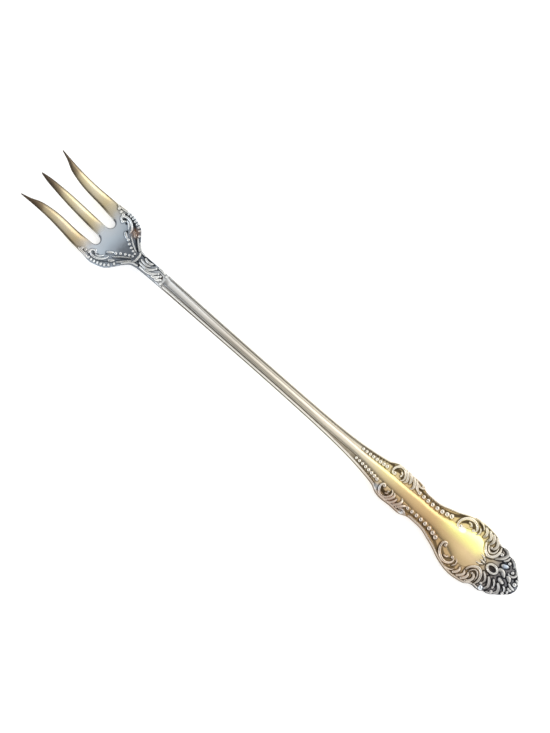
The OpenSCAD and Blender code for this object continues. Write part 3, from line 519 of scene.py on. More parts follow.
def along_line(line):
    """Length along a line of [s, x] places at each of them, and the unit vector square to it there."""
    ahead = np.gradient(line, axis=0)
    length = np.hypot(*ahead.T)
    along = np.concatenate([[0], np.cumsum((length[1:] + length[:-1]) / 2)])
    return along, np.stack([-ahead[:, 1], ahead[:, 0]], axis=-1) / length[:, None]


def across_line(line, side, half, q):
    """Places s and x beside a line, at shares q of its half width."""
    return [line[:, k:k + 1] + side[:, k:k + 1] * half[:, None] * q for k in (0, 1)]


def blunt_ends(along, reach):
    """Rises from 0 at both ends of a path to 1 at a reach from them, as a quarter circle."""
    to_end = np.minimum(along, along[-1] - along) + END_RING
    return np.sqrt(1 - np.clip(1 - to_end / reach, 0, 1) ** 2)


def ridge_section(q):
    """Height across a ridge, as a share of its top: (1 - |q|^1.9)^0.85 at q from 1 to -1."""
    return (1 - np.abs(q) ** 1.9) ** 0.85


def raised(x, s, base, height, oxide_and_shade, **closing):
    """Closed shell on the face: its top is height above base, and its dark foot lies FOOT below base."""
    oxide_and_shade = np.broadcast_to(oxide_and_shade, x.shape)
    upper = np.stack([x, s, base + height], axis=-1)
    lower = np.stack([x, s, base - FOOT], axis=-1)[:, ::-1]
    return skin(np.concatenate([upper, lower], axis=1),
                np.concatenate([oxide_and_shade, np.ones_like(oxide_and_shade)], axis=1), **closing)


def ridge(places, width, height, steps=56, across=18, veins=0, dull=0.0, sides=(1, -1)):
    """Raised ridge along a path of [s, x] places.

    Its section is that of ridge_section, with veins as shallow cosine flutes. Along it the width and height
    follow two tables, and both ends are rounded off. dull is painted shade laid beside the line along it that
    is kept bright."""
    line = path_points(places, steps)
    along, side = along_line(line)
    u = along / along[-1]
    half = width / 2 * smooth(RIDGE_WIDTHS, u)
    blunt = blunt_ends(along, RIDGE_END * half)
    half = half * blunt
    top = height * smooth(RIDGE_HEIGHTS, u) * blunt
    q = np.cos(np.linspace(0, math.pi, across))
    shape = ridge_section(q)
    if veins:
        shape *= 1 - VEIN_DEPTH * (0.5 + 0.5 * np.cos(veins * math.tau * q / 2))
    s, x = across_line(line, side, half, q)
    limit = smooth(EDGE, s) - EDGE_GAP
    x = np.clip(x, -limit, limit)
    oxide_and_shade = 1 - ease(0.0, RIDGE_BRIGHT, shape) * ease(*END_BRIGHT, blunt)[:, None]
    oxide_and_shade = np.maximum(oxide_and_shade, dull * ease(*KEPT_BRIGHT_REACH, np.abs(q - KEPT_BRIGHT_LINE)))
    note_relief(line, half, sides)
    return raised(x, s, face_at(x, s), top[:, None] * shape, oxide_and_shade)


def reed(line, width, height, across=10, dull=0.0):
    """Thread of even width along a line of [s, x] places: half round across, dying out at its ends.

    dull is painted shade laid on its top."""
    along, side = along_line(line)
    blunt = blunt_ends(along, REED_END * width)
    q = np.cos(np.linspace(0, math.pi, across))
    shape = (1 - q**2) ** 0.5
    s, x = across_line(line, side, width / 2 * blunt, q)
    oxide_and_shade = np.maximum(1 - ease(0.0, REED_BRIGHT, shape), dull)
    note_relief(line, width / 2)
    return raised(x, s, face_at(x, s), height * blunt[:, None] * shape, oxide_and_shade)


def bead(place, radius, around=20, up=9, sides=(1, -1)):
    """Round bead at an [s, x] place: a sphere round a point a quarter of its radius above the face.

    It is tilted to the face and ends in a flat foot just below it. Oxide lies round its lower part."""
    s, x = place
    angle = np.linspace(*BEAD_ANGLES, up)[:, None]
    turn = np.linspace(0, math.tau, around, endpoint=False)[None]
    ball_x, ball_s = radius * np.cos(angle) * np.cos(turn), -radius * np.cos(angle) * np.sin(turn)
    height = radius * np.sin(angle) + 0 * turn + radius * BEAD_LIFT
    slope_x = (face_at(x + radius, s) - face_at(x - radius, s)) / (2 * radius)
    slope_s = (face_at(x, s + radius) - face_at(x, s - radius)) / (2 * radius)
    lean_x, lean_s = -slope_x * height, -slope_s * height
    z = face_at(x, s) + slope_x * ball_x + slope_s * ball_s + height
    oxide_and_shade = 1 - ease(*BEAD_BRIGHT, height / radius)
    note_relief(np.array([[s, x]]), radius * BEAD_REACH, sides)
    return skin(np.stack([x + ball_x + lean_x, s + ball_s + lean_s, z], axis=-1), oxide_and_shade)


def ridges(paths, width, height, **more):
    """One ridge of the given size along each path."""
    return [ridge(path, width, height, **more) for path in paths]


def balls(places, **more):
    """A bead at each [s, x, radius]."""
    return [bead((s, x), radius, **more) for s, x, radius in places]


def edge_reed(start, end, steps, width, height, **more):
    """Reed that follows the right edge between two places along the fork, set in from it by half a reed."""
    s = np.linspace(start, end, steps)
    return reed(np.stack([s, smooth(EDGE, s) - REED_INSET], axis=-1), width, height, **more)


def bead_row(path, radius):
    """Graded beads along a path of [s, x] places, from the smallest to the largest."""
    sizes = radius * np.linspace(LEAST_BEAD, 1, BEADS_IN_ROW)
    return [bead(place, size) for place, size in zip(path_points(path, BEADS_IN_ROW), sizes)]


def eyelet(around=72, across=18):
    """Oval ring: the ridge section carried round an ellipse, from its outer side to its inner side."""
    turn = np.linspace(0, math.tau, around, endpoint=False)[:, None]
    q = np.cos(np.linspace(0, math.pi, across))[None]
    shape = ridge_section(q)
    x = (EYELET_WIDTH + CURL_WIDTH / 2 * q) * np.sin(turn)
    s = EYELET_PLACE - (EYELET_LENGTH + CURL_WIDTH / 2 * q) * np.cos(turn)
    middle = np.stack([s, x], axis=-1)[:, across // 2]
    note_relief(middle, CURL_WIDTH / 2)
    oxide_and_shade = 1 - ease(0.0, RIDGE_BRIGHT, shape)
    return raised(x, s, face_at(x, s), SCROLL_HEIGHT * shape, oxide_and_shade, endless=True)


# The crowned rib. Each stretch is a pair of [from, to] places along the fork: where something grows, and
# where it fades
SWELL = (98, 110)
RIB_SHIFT, RIB_SHIFT_STRETCH = 0.2, ((42, 56), (88, 100))
# Oxide along its left foot, heavier and wider than on the right as painted shade, and what that loses towards
# the panel
LEFT_FOOT, LEFT_FOOT_REACH, LEFT_FOOT_LOSS, LEFT_FOOT_FADES = 0.85, (0.02, 0.26), 0.35, (110, 118)
# The same along its right foot
RIGHT_FOOT, RIGHT_FOOT_REACH, RIGHT_FOOT_LOSS, RIGHT_FOOT_FADES = 0.45, (0.0, 0.14), 0.3, (98, 108)
# Painted shade: a wider and fainter dark band on the left, where the rib begins to swell
BAND, BAND_REACH, BAND_STRETCH = 0.5, (0.15, 0.65), ((84, 100), (104, 112))
# Fine dull line on the stem, and how far left of the middle it lies
STEM_LINE, STEM_LINE_PLACE, STEM_LINE_REACH, STEM_LINE_STRETCH = 0.5, 0.36, (0.05, 0.2), ((50, 64), (84, 94))


def crowned(start, end, height, crown_table, rows, columns):
    """Crowned rib down the middle: across it the height is (1 - |v|^2.3)^p at v from 1 to -1.

    p goes from 0.6 on the stem to 0.7 on the panel. Oxide lies along the rib's foot. Its heavier, wider reach
    on the left, and a wider band on the left where the shank begins to swell, are painted shade. A fine dark
    line lies a little left of the middle of the stem."""
    s = np.linspace(start, end, rows)[:, None]
    v = np.cos(np.linspace(0, math.pi, columns))[None]
    half = smooth(RIB, s)
    shape = (1 - np.abs(v) ** 2.3) ** (0.6 + 0.1 * ease(*SWELL, s))
    crown = height * smooth(crown_table, (s - start) / (end - start)) * shape
    x = half * v - RIB_SHIFT * within(*RIB_SHIFT_STRETCH, s)
    from_edge = half * (1 - np.abs(v))
    # Oxide along both feet of the rib; the heavier, wider darkness on the left and the band are painted shade
    left = LEFT_FOOT - LEFT_FOOT_LOSS * ease(*LEFT_FOOT_FADES, s)
    left = left * (1 - ease(*LEFT_FOOT_REACH, from_edge))
    right = RIGHT_FOOT - RIGHT_FOOT_LOSS * ease(*RIGHT_FOOT_FADES, s)
    right = right * (1 - ease(*RIGHT_FOOT_REACH, from_edge))
    band = BAND * within(*BAND_STRETCH, s) * (1 - ease(*BAND_REACH, from_edge))
    line = STEM_LINE * (1 - ease(*STEM_LINE_REACH, np.abs(x + STEM_LINE_PLACE)))
    line = line * within(*STEM_LINE_STRETCH, s)
    oxide_and_shade = np.maximum(np.where(v < 0, np.maximum(left, band), right), line)
    return raised(x, s + 0 * v, face_at(0 * s, s) + 0 * v, crown, oxide_and_shade, caps="ladder")


# Regions of the blank

# The ground is dark within this distance of relief and recesses
DARK_REACH = 0.34
# Between these places both sides are alike. Before and after them the left side's recesses are fainter
ALIKE, FAINTER_LEFT = (31, 117), 0.75
# Points along a recess, how far along the fork relief still counts, and how many distances are worked out at
# once, which keeps the memory small
RECESS_POINTS, NEAR, CHUNK = 40, 2, 4_000_000
# Painted shade in the hollow of the head before the neck: half its width from full to none, and its stretch
# along the fork
HOLLOW_SHADE, HOLLOW_SHADE_HALF, HOLLOW_SHADE_STRETCH = 0.3, (1.2, 3.4), ((24, 27), (30, 31))
# Dark ground of the crest, partly oxide and partly painted shade, and where it starts and is full
CREST_GROUND, CREST_GROUND_START = 0.5, (143.4, 145.6)
# Painted shade: a dark, dull line at the edges of the back, and inside the slots
BACK_LINE, BACK_LINE_REACH = 0.75, (0.1, 0.6)
SLOT_LINE, SLOT_LINE_REACH = 0.75, (0.05, 0.4)
# Painted shade: dark, dull edges of the tines from this share of their half width, ending this long before
# the head
TINE_LINE, TINE_LINE_START, TINE_LINE_END = 0.7, (0.6, 0.88), 4
# Rounding of the blank's upper and lower edges: radius, and the most that it may take of the thickness
TOP_ROUND, TOP_ROUND_SHARE = 0.28, 0.2
BACK_ROUND, BACK_ROUND_SHARE = 0.5, 0.3
TINE_TOP_ROUND, TINE_BACK_ROUND = 0.2, 0.25
# Rounding of the tine points and of the fork's end, seen from above
POINT_ROUND, END_ROUND = 0.5, 0.5
TINE_ROUND_SHARE = 0.3
LEAST_THICK = 0.02
# Powers by which the rows of the head and of a tine lie closer together at their front, and by which the top
# of a tine turns into the dished face of the head
HEAD_ROWS, TINE_ROWS, HEAD_BLEND = 1.25, 1.15, 6


def ground_oxide_and_shade(x, s):
    """How dark the ground is: darkest in the recesses and beside relief, fading over a third of a millimetre.

    Beside relief it is lighter on the head, where polishing has reached the ground. The hollow of the head
    before the neck is a little darker, which is painted shade. The left of the shank has a band of painted
    shade laid like a recess. The crest past its eyelet is dark all over, partly oxide and partly painted
    shade."""
    oxide_and_shade = np.zeros(x.shape)
    for side in (1, -1):
        paths = RECESSES + (NECK_RECESSES if side > 0 else LEFT_SHANK_SHADE)
        dug = np.concatenate([path_points(path, RECESS_POINTS) for path in paths])
        stood = np.concatenate(RELIEF[side])
        rows = np.concatenate([stood, dug])
        alike = (dug[:, 0] > ALIKE[0]) & (dug[:, 0] < ALIKE[1])
        depth = np.concatenate([
            np.interp(stood[:, 0], *np.transpose(BESIDE_RELIEF)),
            np.interp(dug[:, 0], *np.transpose(IN_RECESSES)) * np.where(alike | (side > 0), 1, FAINTER_LEFT)])
        near = (rows[:, 0] > s.min() - NEAR) & (rows[:, 0] < s.max() + NEAR)
        rows, depth = rows[near], depth[near]
        for chunk in np.array_split(np.arange(x.size), max(1, x.size * len(rows) // CHUNK)):
            away = np.hypot(s.ravel()[chunk, None] - rows[:, 0], x.ravel()[chunk, None] - side * rows[:, 1])
            dark = ((1 - ease(0.0, DARK_REACH, away - rows[:, 2])) * depth).max(axis=1)
            oxide_and_shade.ravel()[chunk] = np.maximum(oxide_and_shade.ravel()[chunk], dark)
    # Painted shade: the hollow of the head before the neck is darker
    hollow_shade = HOLLOW_SHADE * (1 - ease(*HOLLOW_SHADE_HALF, np.abs(x))) * within(*HOLLOW_SHADE_STRETCH, s)
    return np.maximum(oxide_and_shade, np.maximum(hollow_shade, CREST_GROUND * ease(*CREST_GROUND_START, s)))


def edge_shade(edge_gap):
    """Oxide of the back, from the right edge to the left one and read backwards: painted shade at its edges.
    """
    return BACK_LINE * (1 - ease(*BACK_LINE_REACH, edge_gap))[:, ::-1]


def blank(x, s, edge_gap, oxide_and_shade):
    """Closed region of the blank from a grid of places, right edge first.

    The top lies on the face. The back lies lower by the thickness times 1 - (1 - share)|v|^3, with v from
    the middle to the edge. Both round off towards an edge that is edge_gap away."""
    thick = smooth(THICK, s)
    v = np.clip(np.abs(x) / smooth(EDGE, s), 0, 1)
    top = face_at(x, s) - rounding(edge_gap, np.minimum(TOP_ROUND, thick * TOP_ROUND_SHARE))
    back = face_at(x, s) - thick * (1 - (1 - EDGE_THICK_SHARE) * v**3)
    back += rounding(edge_gap, np.minimum(BACK_ROUND, thick * BACK_ROUND_SHARE))
    back = np.minimum(back, top - LEAST_THICK)
    upper = np.stack([x, s, top], axis=-1)
    lower = np.stack([x, s, np.maximum(back, 0)], axis=-1)[:, ::-1]
    return skin(np.concatenate([upper, lower], axis=1), np.concatenate([oxide_and_shade, edge_shade(edge_gap)], axis=1),
                caps="ladder")


def plate(start, end, rows, columns, end_radius=0.0):
    """Region between two places along the fork, closer together in its rows towards both edges."""
    s = np.linspace(start, end, rows)[:, None]
    v = np.sin(np.linspace(math.pi / 2, -math.pi / 2, columns))[None]
    edge = smooth(EDGE, s)
    if end_radius:
        k = np.clip(1 - (end - s) / end_radius, 0, 0.999)
        edge = edge * np.sqrt(1 - k**2)
    x, s = edge * v, s + 0 * v
    return blank(x, s, edge * (1 - np.abs(v)), ground_oxide_and_shade(x, s))


def bowl_skin(rows=110, edge_points=41, slot_points=29, middle_points=13):
    """Dished head. Its front row follows the round slot ends: s = tine end + sqrt(r^2 - (x - slot)^2)."""
    r = SLOT / 2
    root = smooth(EDGE, TINE_END)
    turn = np.linspace(0, math.pi, slot_points)
    outer = root - (root - SLOT_X - r) * (1 - np.sin(np.linspace(math.pi / 2, 0, edge_points)[:-1]))
    right = np.concatenate([outer, SLOT_X + r * np.cos(turn)[:-1], np.linspace(SLOT_X - r, 0, middle_points)])
    x0 = np.concatenate([right, -right[-2::-1]])[None]
    front = TINE_END + np.sqrt(np.clip(r**2 - (np.abs(x0) - SLOT_X) ** 2, 0, None))
    u = np.linspace(0, 1, rows)[:, None] ** HEAD_ROWS
    s = front + (BOWL_END - front) * u
    v = x0 / root
    x = v * smooth(EDGE, s)
    slot_gap = np.hypot(np.abs(x0) + 0 * s - SLOT_X, s - TINE_END) - r
    edge_gap = np.minimum(smooth(EDGE, s) * (1 - np.abs(v)), slot_gap)
    # Painted shade: a dark line round the slot ends
    slot_line = SLOT_LINE * (1 - ease(*SLOT_LINE_REACH, np.maximum(slot_gap, 0)))
    return blank(x, s, np.maximum(edge_gap, 0), np.maximum(ground_oxide_and_shade(x, s), slot_line))


def tine_skin(middle, half, rows=150, columns=30):
    """Pointed tine: a half-round top and back on a middle line and half width given at each s.

    Its rows lie closer together towards the point, and near the head its top turns into the dished face."""
    s = TINE_END * np.linspace(0, 1, rows)[:, None] ** TINE_ROWS
    width = half(s) * np.sqrt(1 - np.clip(1 - (s + 0.01) / POINT_ROUND, 0, 1) ** 2)
    v = np.sin(np.linspace(math.pi / 2, -math.pi / 2, columns))[None]
    x = middle(s) + width * v
    s = s + 0 * v
    thick = smooth(THICK, s)
    edge_gap = width * (1 - np.abs(v))
    fade = 1 - (s / TINE_END) ** HEAD_BLEND
    face = face_at(x, s) * (1 - fade) + face_at(middle(s), s) * fade
    top = face - np.minimum(TINE_ROUND, thick * TINE_ROUND_SHARE) * fade * v**2
    top = top - rounding(edge_gap, TINE_TOP_ROUND)
    back = face - thick * (1 - (1 - TINE_EDGE_THICK_SHARE) * v**2) + rounding(edge_gap, TINE_BACK_ROUND)
    back = np.minimum(back, top - LEAST_THICK)
    points = np.concatenate([np.stack([x, s, top], -1), np.stack([x, s, back], -1)[:, ::-1]], axis=1)
    # Painted shade: dark lines along the tine's edges
    edges = TINE_LINE * ease(*TINE_LINE_START, np.abs(v)) * ease(TINE_END, TINE_END - TINE_LINE_END, s)
    oxide_and_shade = np.maximum(ground_oxide_and_shade(x, s) * ease(TINE_END - TINE_LINE_END, TINE_END - 1, s), edges)
    return skin(points, np.concatenate([oxide_and_shade, edge_shade(edge_gap)], axis=1), caps="ladder")


# Colours and materials

def linear(colour):
    """Linear RGBA of an sRGB hex colour."""
    parts = np.array([int(colour[k:k + 2], 16) for k in (1, 3, 5)]) / 255
    parts = np.where(parts <= 0.04045, parts / 12.92, ((parts + 0.055) / 1.055) ** 2.4)
    return (*parts, 1.0)


def add(tree, kind, sockets=None, stops=(), **settings):
    """Adds a shader node with its settings, sets or links its sockets, and gives a colour ramp its stops.

    A stop is a place and an sRGB hex colour or a grey."""
    made = tree.nodes.new(kind)
    for name, value in settings.items():
        setattr(made, name, value)
    for name, value in (sockets or {}).items():
        if isinstance(value, bpy.types.NodeSocket):
            tree.links.new(value, made.inputs[name])
        else:
            made.inputs[name].default_value = value
    for _ in stops[2:]:
        made.color_ramp.elements.new(1.0)
    for k, (position, colour) in enumerate(stops):
        element = made.color_ramp.elements[k]
        element.position = position
        element.color = linear(colour) if isinstance(colour, str) else (colour, colour, colour, 1.0)
    return made


def stops_along(table):
    """A table of millimetres from the tine tips as ramp stops, with 1 at the fork's end."""
    return [(s / FORK_LENGTH, value) for s, value in table]


# Colour of the bright metal along the fork, from the tine tips: millimetres and colour. It is partly toning
# and partly painted light: warm and cool reflections, with darker stretches of painted shade in the middle of
# the head and on the crest
TONES_AND_LIGHT = [
    (0, "#544b43"), (3.5, "#6a5e50"), (6, "#9c8e76"), (7.2, "#c8bc9e"), (9, "#d8ccaa"), (12, "#dcd3ba"),
    (16, "#cec09c"), (18.5, "#c8c2b2"), (21, "#cfd9e6"), (23.5, "#ccdcee"), (25, "#c2d0e2"), (27, "#a0aab8"),
    (31, "#8e97a5"), (34, "#a2abb8"), (37, "#c4ccd6"), (40, "#e6e9ec"), (60, "#dad5cc"), (84, "#f2ebdc"),
    (100, "#f4ecdc"), (110, "#e8d4ac"), (116, "#dabd90"), (125, "#d8b688"), (131, "#e6ca98"),
    (136, "#f0d6a6"), (139, "#e6cda2"), (141.5, "#c8b698"), (144, "#b8b0a8"), (147, "#aeacb2"),
    (152, "#a8b2c2"),
]
# Tone of the oxide in the recesses
OXIDES = [
    (0, "#241e18"), (17, "#2c261e"), (21, "#343a42"), (36, "#3a3f46"), (40, "#544c42"), (90, "#5c503e"),
    (104, "#64563e"), (138, "#66583f"), (142, "#4c4236"), (145, "#34343a"), (152, "#2a2c32"),
]
# Painted light: where the handle is painted lighter and lemon yellow on its right side, and across it where
# that starts and is full
LEMON_LIGHT = "#fffaa2"
LEMON_LIGHT_BAND = [
    (95, 0.0), (104, 0.15), (110, 0.5), (113, 0.3), (117, 0.1), (126, 0.12), (130, 0.65), (133, 0.9),
    (138, 0.95), (141, 0.1),
]
LEMON_LIGHT_START, LEMON_LIGHT_FULL = -1.2 * MM, 1.2 * MM
# Where the left side is darker and browner than the right one, and by what its colour is multiplied
SHADE = "#c8bdbb"
SHADE_BAND = [
    (0, 0.3), (4, 0.6), (7, 0.4), (12, 0.3), (18, 0.55), (23, 0.0), (98, 0.0), (106, 0.5), (110, 1.0),
    (117, 1.0), (121, 0.6), (140, 0.7), (143, 0.35), (152, 0.15),
]
SHADE_START, SHADE_FULL = -1.2 * MM, -3.5 * MM
# Silver that use has rubbed free of tone, and ramp stops at which oxide starts and covers it
RUBBED = "#f8f8f5"
COVER = [(0.12, 0.0), (0.85, 1.0)]
# A small brown stain on the shoulder, and painted highlights: bluish-white and white glints on the curls,
# balls and panel. Each is a place in metres, radius, colour and how strong it is
STAIN_AND_GLINTS = [
    ((0.0047, 0.05, 0.0024), 0.002, "#b88c68", 0.6),
    ((-0.0034, -0.034, 0.0028), 0.0016, "#eef6ff", 0.7),
    ((-0.0044, -0.0424, 0.0024), 0.0011, "#eef6ff", 0.7),
    ((0.0026, -0.0703, 0.0026), 0.0013, "#c4d8f2", 0.75),
    ((-0.0054, -0.0687, 0.0025), 0.0013, "#e6f2ff", 0.8),
    ((0.0056, -0.0597, 0.0025), 0.0012, "#f6f6f2", 0.6),
    ((0.0028, -0.0566, 0.002), 0.0014, "#ffffff", 0.9),
]
# Scales of the patterns, per metre. Patches of tone and painted light wander over 4 mm. Grit in the oxide is
# 0.5 mm, drawn coarser than it is so that it shows. Scratches lie 0.1 mm apart and run 2 mm along the fork.
WANDER_SCALE, GRIT_SCALE, SCRATCH_SCALES = 260.0, 2200.0, (9000.0, 500.0, 2000.0)
WANDER = 4 * MM
GRIT_IN_OXIDE, GRIT_IN_GLOSS = 0.28, 0.12
BUMP, SCRATCH_DEPTH, PIT_DEPTH = 0.06, 0.04 * MM, 0.06 * MM


def struck_silver(name, shine, relief_shine, polished=0.0, lemon_light=0.3, shade=1.0):
    """Sterling silver, die struck, hand polished and toned with age.

    Toning turns the metal from straw to brown and blue-grey in broad patches along the fork. These patches
    are partly painted light: warm and cool reflections, with darker stretches of painted shade. Silver
    sulphide stays in the recesses, so that they are dark and dull, and use leaves fine scratches. The same
    oxide attribute also carries painted shade on edges, on the left and on the crest. shine and relief_shine
    are the roughness of bright and of oxidised metal. The last three arguments are how much is rubbed free of
    tone, how much is painted lighter and lemon yellow on the right as painted light, and how much is darkened
    on the left as painted shade. One stain and some painted glints lie over it all."""
    material = bpy.data.materials.new(name)
    material.use_nodes = True
    tree = material.node_tree
    tree.nodes.clear()
    spot = add(tree, "ShaderNodeTexCoord").outputs["Object"]
    axes = add(tree, "ShaderNodeSeparateXYZ", {"Vector": spot})

    # Place along the fork, 0 at the tine tips and 1 at the end. It wanders, so that no patch ends straight
    wander = add(tree, "ShaderNodeTexNoise", {"Vector": spot, "Scale": WANDER_SCALE, "Detail": 3.0})
    shift = add(tree, "ShaderNodeMath", {0: wander.outputs["Fac"], 1: WANDER}, operation="MULTIPLY")
    moved = add(tree, "ShaderNodeMath", {0: axes.outputs["Y"], 1: shift.outputs[0]}, operation="ADD")
    place = add(tree, "ShaderNodeMapRange", {
        "Value": moved.outputs[0], "From Min": FORK_LENGTH / 2 * MM + WANDER / 2,
        "From Max": -FORK_LENGTH / 2 * MM + WANDER / 2}).outputs["Result"]

    # Bright metal: its tone along the fork, which is partly painted light, then the painted light of the
    # lemon patch on the right side, then rubbed clean
    tone_and_light = add(tree, "ShaderNodeValToRGB", {"Fac": place}, stops_along(TONES_AND_LIGHT)).outputs["Color"]
    band = add(tree, "ShaderNodeValToRGB", {"Fac": place}, stops_along(LEMON_LIGHT_BAND)).outputs["Color"]
    right = add(tree, "ShaderNodeMapRange", {
        "Value": axes.outputs["X"], "From Min": LEMON_LIGHT_START, "From Max": LEMON_LIGHT_FULL},
        interpolation_type="SMOOTHSTEP").outputs["Result"]
    share = add(tree, "ShaderNodeMath", {0: band, 1: lemon_light}, operation="MULTIPLY").outputs[0]
    share = add(tree, "ShaderNodeMath", {0: share, 1: right}, operation="MULTIPLY").outputs[0]
    tone_and_light = add(tree, "ShaderNodeMix", {0: share, 6: tone_and_light, 7: linear(LEMON_LIGHT)}, data_type="RGBA").outputs[2]
    tone_and_light = add(tree, "ShaderNodeMix", {0: polished, 6: tone_and_light, 7: linear(RUBBED)},
               data_type="RGBA").outputs[2]

    # Oxide over it as deep as the mesh says, together with the painted shade kept in the same attribute,
    # broken up by grit where it thins out
    dull = add(tree, "ShaderNodeValToRGB", {"Fac": place}, stops_along(OXIDES)).outputs["Color"]
    depth = add(tree, "ShaderNodeAttribute", attribute_name="oxide_and_shade", attribute_type="GEOMETRY").outputs["Fac"]
    grit = add(tree, "ShaderNodeTexNoise", {
        "Vector": spot, "Scale": GRIT_SCALE, "Detail": 4.0}).outputs["Fac"]
    uneven = add(tree, "ShaderNodeMath", {0: grit, 1: -0.5}, operation="ADD").outputs[0]
    broken = add(tree, "ShaderNodeMath", {0: uneven, 1: GRIT_IN_OXIDE, 2: depth}, operation="MULTIPLY_ADD")
    cover = add(tree, "ShaderNodeValToRGB", {"Fac": broken.outputs[0]}, COVER).outputs["Color"]
    colour = add(tree, "ShaderNodeMix", {0: cover, 6: tone_and_light, 7: dull}, data_type="RGBA").outputs[2]

    # The darker left side, which is painted shade, and over both the stain and the painted glints
    band = add(tree, "ShaderNodeValToRGB", {"Fac": place}, stops_along(SHADE_BAND)).outputs["Color"]
    left = add(tree, "ShaderNodeMapRange", {
        "Value": axes.outputs["X"], "From Min": SHADE_START, "From Max": SHADE_FULL},
        interpolation_type="SMOOTHSTEP").outputs["Result"]
    share = add(tree, "ShaderNodeMath", {0: band, 1: left}, operation="MULTIPLY").outputs[0]
    share = add(tree, "ShaderNodeMath", {0: share, 1: shade}, operation="MULTIPLY").outputs[0]
    colour = add(tree, "ShaderNodeMix", {0: share, 6: colour, 7: linear(SHADE)},
                 data_type="RGBA", blend_type="MULTIPLY").outputs[2]
    for centre, radius, mark_colour, strength in STAIN_AND_GLINTS:
        away = add(tree, "ShaderNodeVectorMath", {0: spot, 1: centre}, operation="DISTANCE")
        share = add(tree, "ShaderNodeMapRange", {
            "Value": away.outputs["Value"], "From Min": radius, "From Max": radius / 8, "To Max": strength},
            interpolation_type="SMOOTHSTEP").outputs["Result"]
        colour = add(tree, "ShaderNodeMix", {0: share, 6: colour, 7: linear(mark_colour)},
                     data_type="RGBA").outputs[2]

    # Gloss, duller where oxide covers it, with scratches and pits
    rough = add(tree, "ShaderNodeMapRange", {"Value": cover, "To Min": shine, "To Max": relief_shine})
    worn = add(tree, "ShaderNodeMath", {0: uneven, 1: GRIT_IN_GLOSS, 2: rough.outputs["Result"]},
               operation="MULTIPLY_ADD")
    stretched = add(tree, "ShaderNodeMapping", {"Vector": spot, "Scale": SCRATCH_SCALES}).outputs["Vector"]
    scratches = add(tree, "ShaderNodeTexNoise", {"Vector": stretched, "Scale": 1.0, "Detail": 2.0})
    scratched = add(tree, "ShaderNodeBump", {
        "Strength": BUMP, "Distance": SCRATCH_DEPTH, "Height": scratches.outputs["Fac"]})
    pitted = add(tree, "ShaderNodeBump", {
        "Strength": BUMP, "Distance": PIT_DEPTH, "Height": grit, "Normal": scratched.outputs["Normal"]})
    shader = add(tree, "ShaderNodeBsdfPrincipled", {
        "Base Color": colour, "Metallic": 1.0, "Roughness": worn.outputs[0],
        "Normal": pitted.outputs["Normal"]})
    add(tree, "ShaderNodeOutputMaterial", {"Surface": shader.outputs["BSDF"]})
    return material


# Satin silver of the blank: a soft sheen without sharp reflections, and black oxide between the relief
bright = struck_silver("struck_silver_satin", 0.3, 0.5)
# Straw silver of the tines, its straw colour partly toning and partly painted warm light: a warm even gloss
# that turns brown at the points, with painted shade that makes it dark and dull at the edges
straw_silver = struck_silver("straw_silver_toned_and_lit", 0.27, 0.5)
# Hand-polished silver of shank and panel: broad smooth reflections, and painted light, lighter and lemon
# yellow, on the right of the panel
panel_silver = struck_silver("hand_polished_silver", 0.24, 0.45, lemon_light=1.0, shade=0.45)
# Oxidised relief that use has rubbed: small bright glints on its tops, dull and dark down its flanks
relief = struck_silver("oxidised_relief_silver", 0.22, 0.5, polished=0.6)


# The fork

def shoulder_ribs(step=0.01):
    """Short ribs square to the edge of the head, from near the edge inward."""
    start, length = SECTIONS["bowl"]
    s = start + length * np.linspace(RIB_START, RIB_END, RIBS)
    ahead = np.stack([np.full(RIBS, 2 * step), smooth(EDGE, s + step) - smooth(EDGE, s - step)], axis=-1)
    inward = np.stack([ahead[:, 1], -ahead[:, 0]], axis=-1) / np.hypot(*ahead.T)[:, None]
    outer = np.stack([s, smooth(EDGE, s)], axis=-1)
    return [
        ridge([outer[k] + inward[k] * SMALL_LEAF_WIDTH * reach for reach in RIB_REACH],
              *SMALL_LEAF, steps=20, across=12)
        for k in range(RIBS)
    ]


def crest_leaves(side):
    """Lobes and beads of one side of the crest. The right side's edge shows a reed as well."""
    sides = (side,)
    leaves = [
        *ridges(CREST_CURLS[side], *CREST_CURL, dull=CREST_DULL, sides=sides),
        *ridges(CREST_LEAVES[side], *CREST_LEAF, veins=2, dull=CREST_DULL, sides=sides),
        *ridges(CREST_THREADS[side], *CREST_THREAD, dull=CREST_DULL, sides=sides),
        *balls(CREST_BALLS[side], sides=sides)]
    if side > 0:
        return [*leaves, edge_reed(*CREST_REED, *SCROLL_REED, dull=CREST_REED_DULL)]
    return [mirrored(leaf) for leaf in leaves]


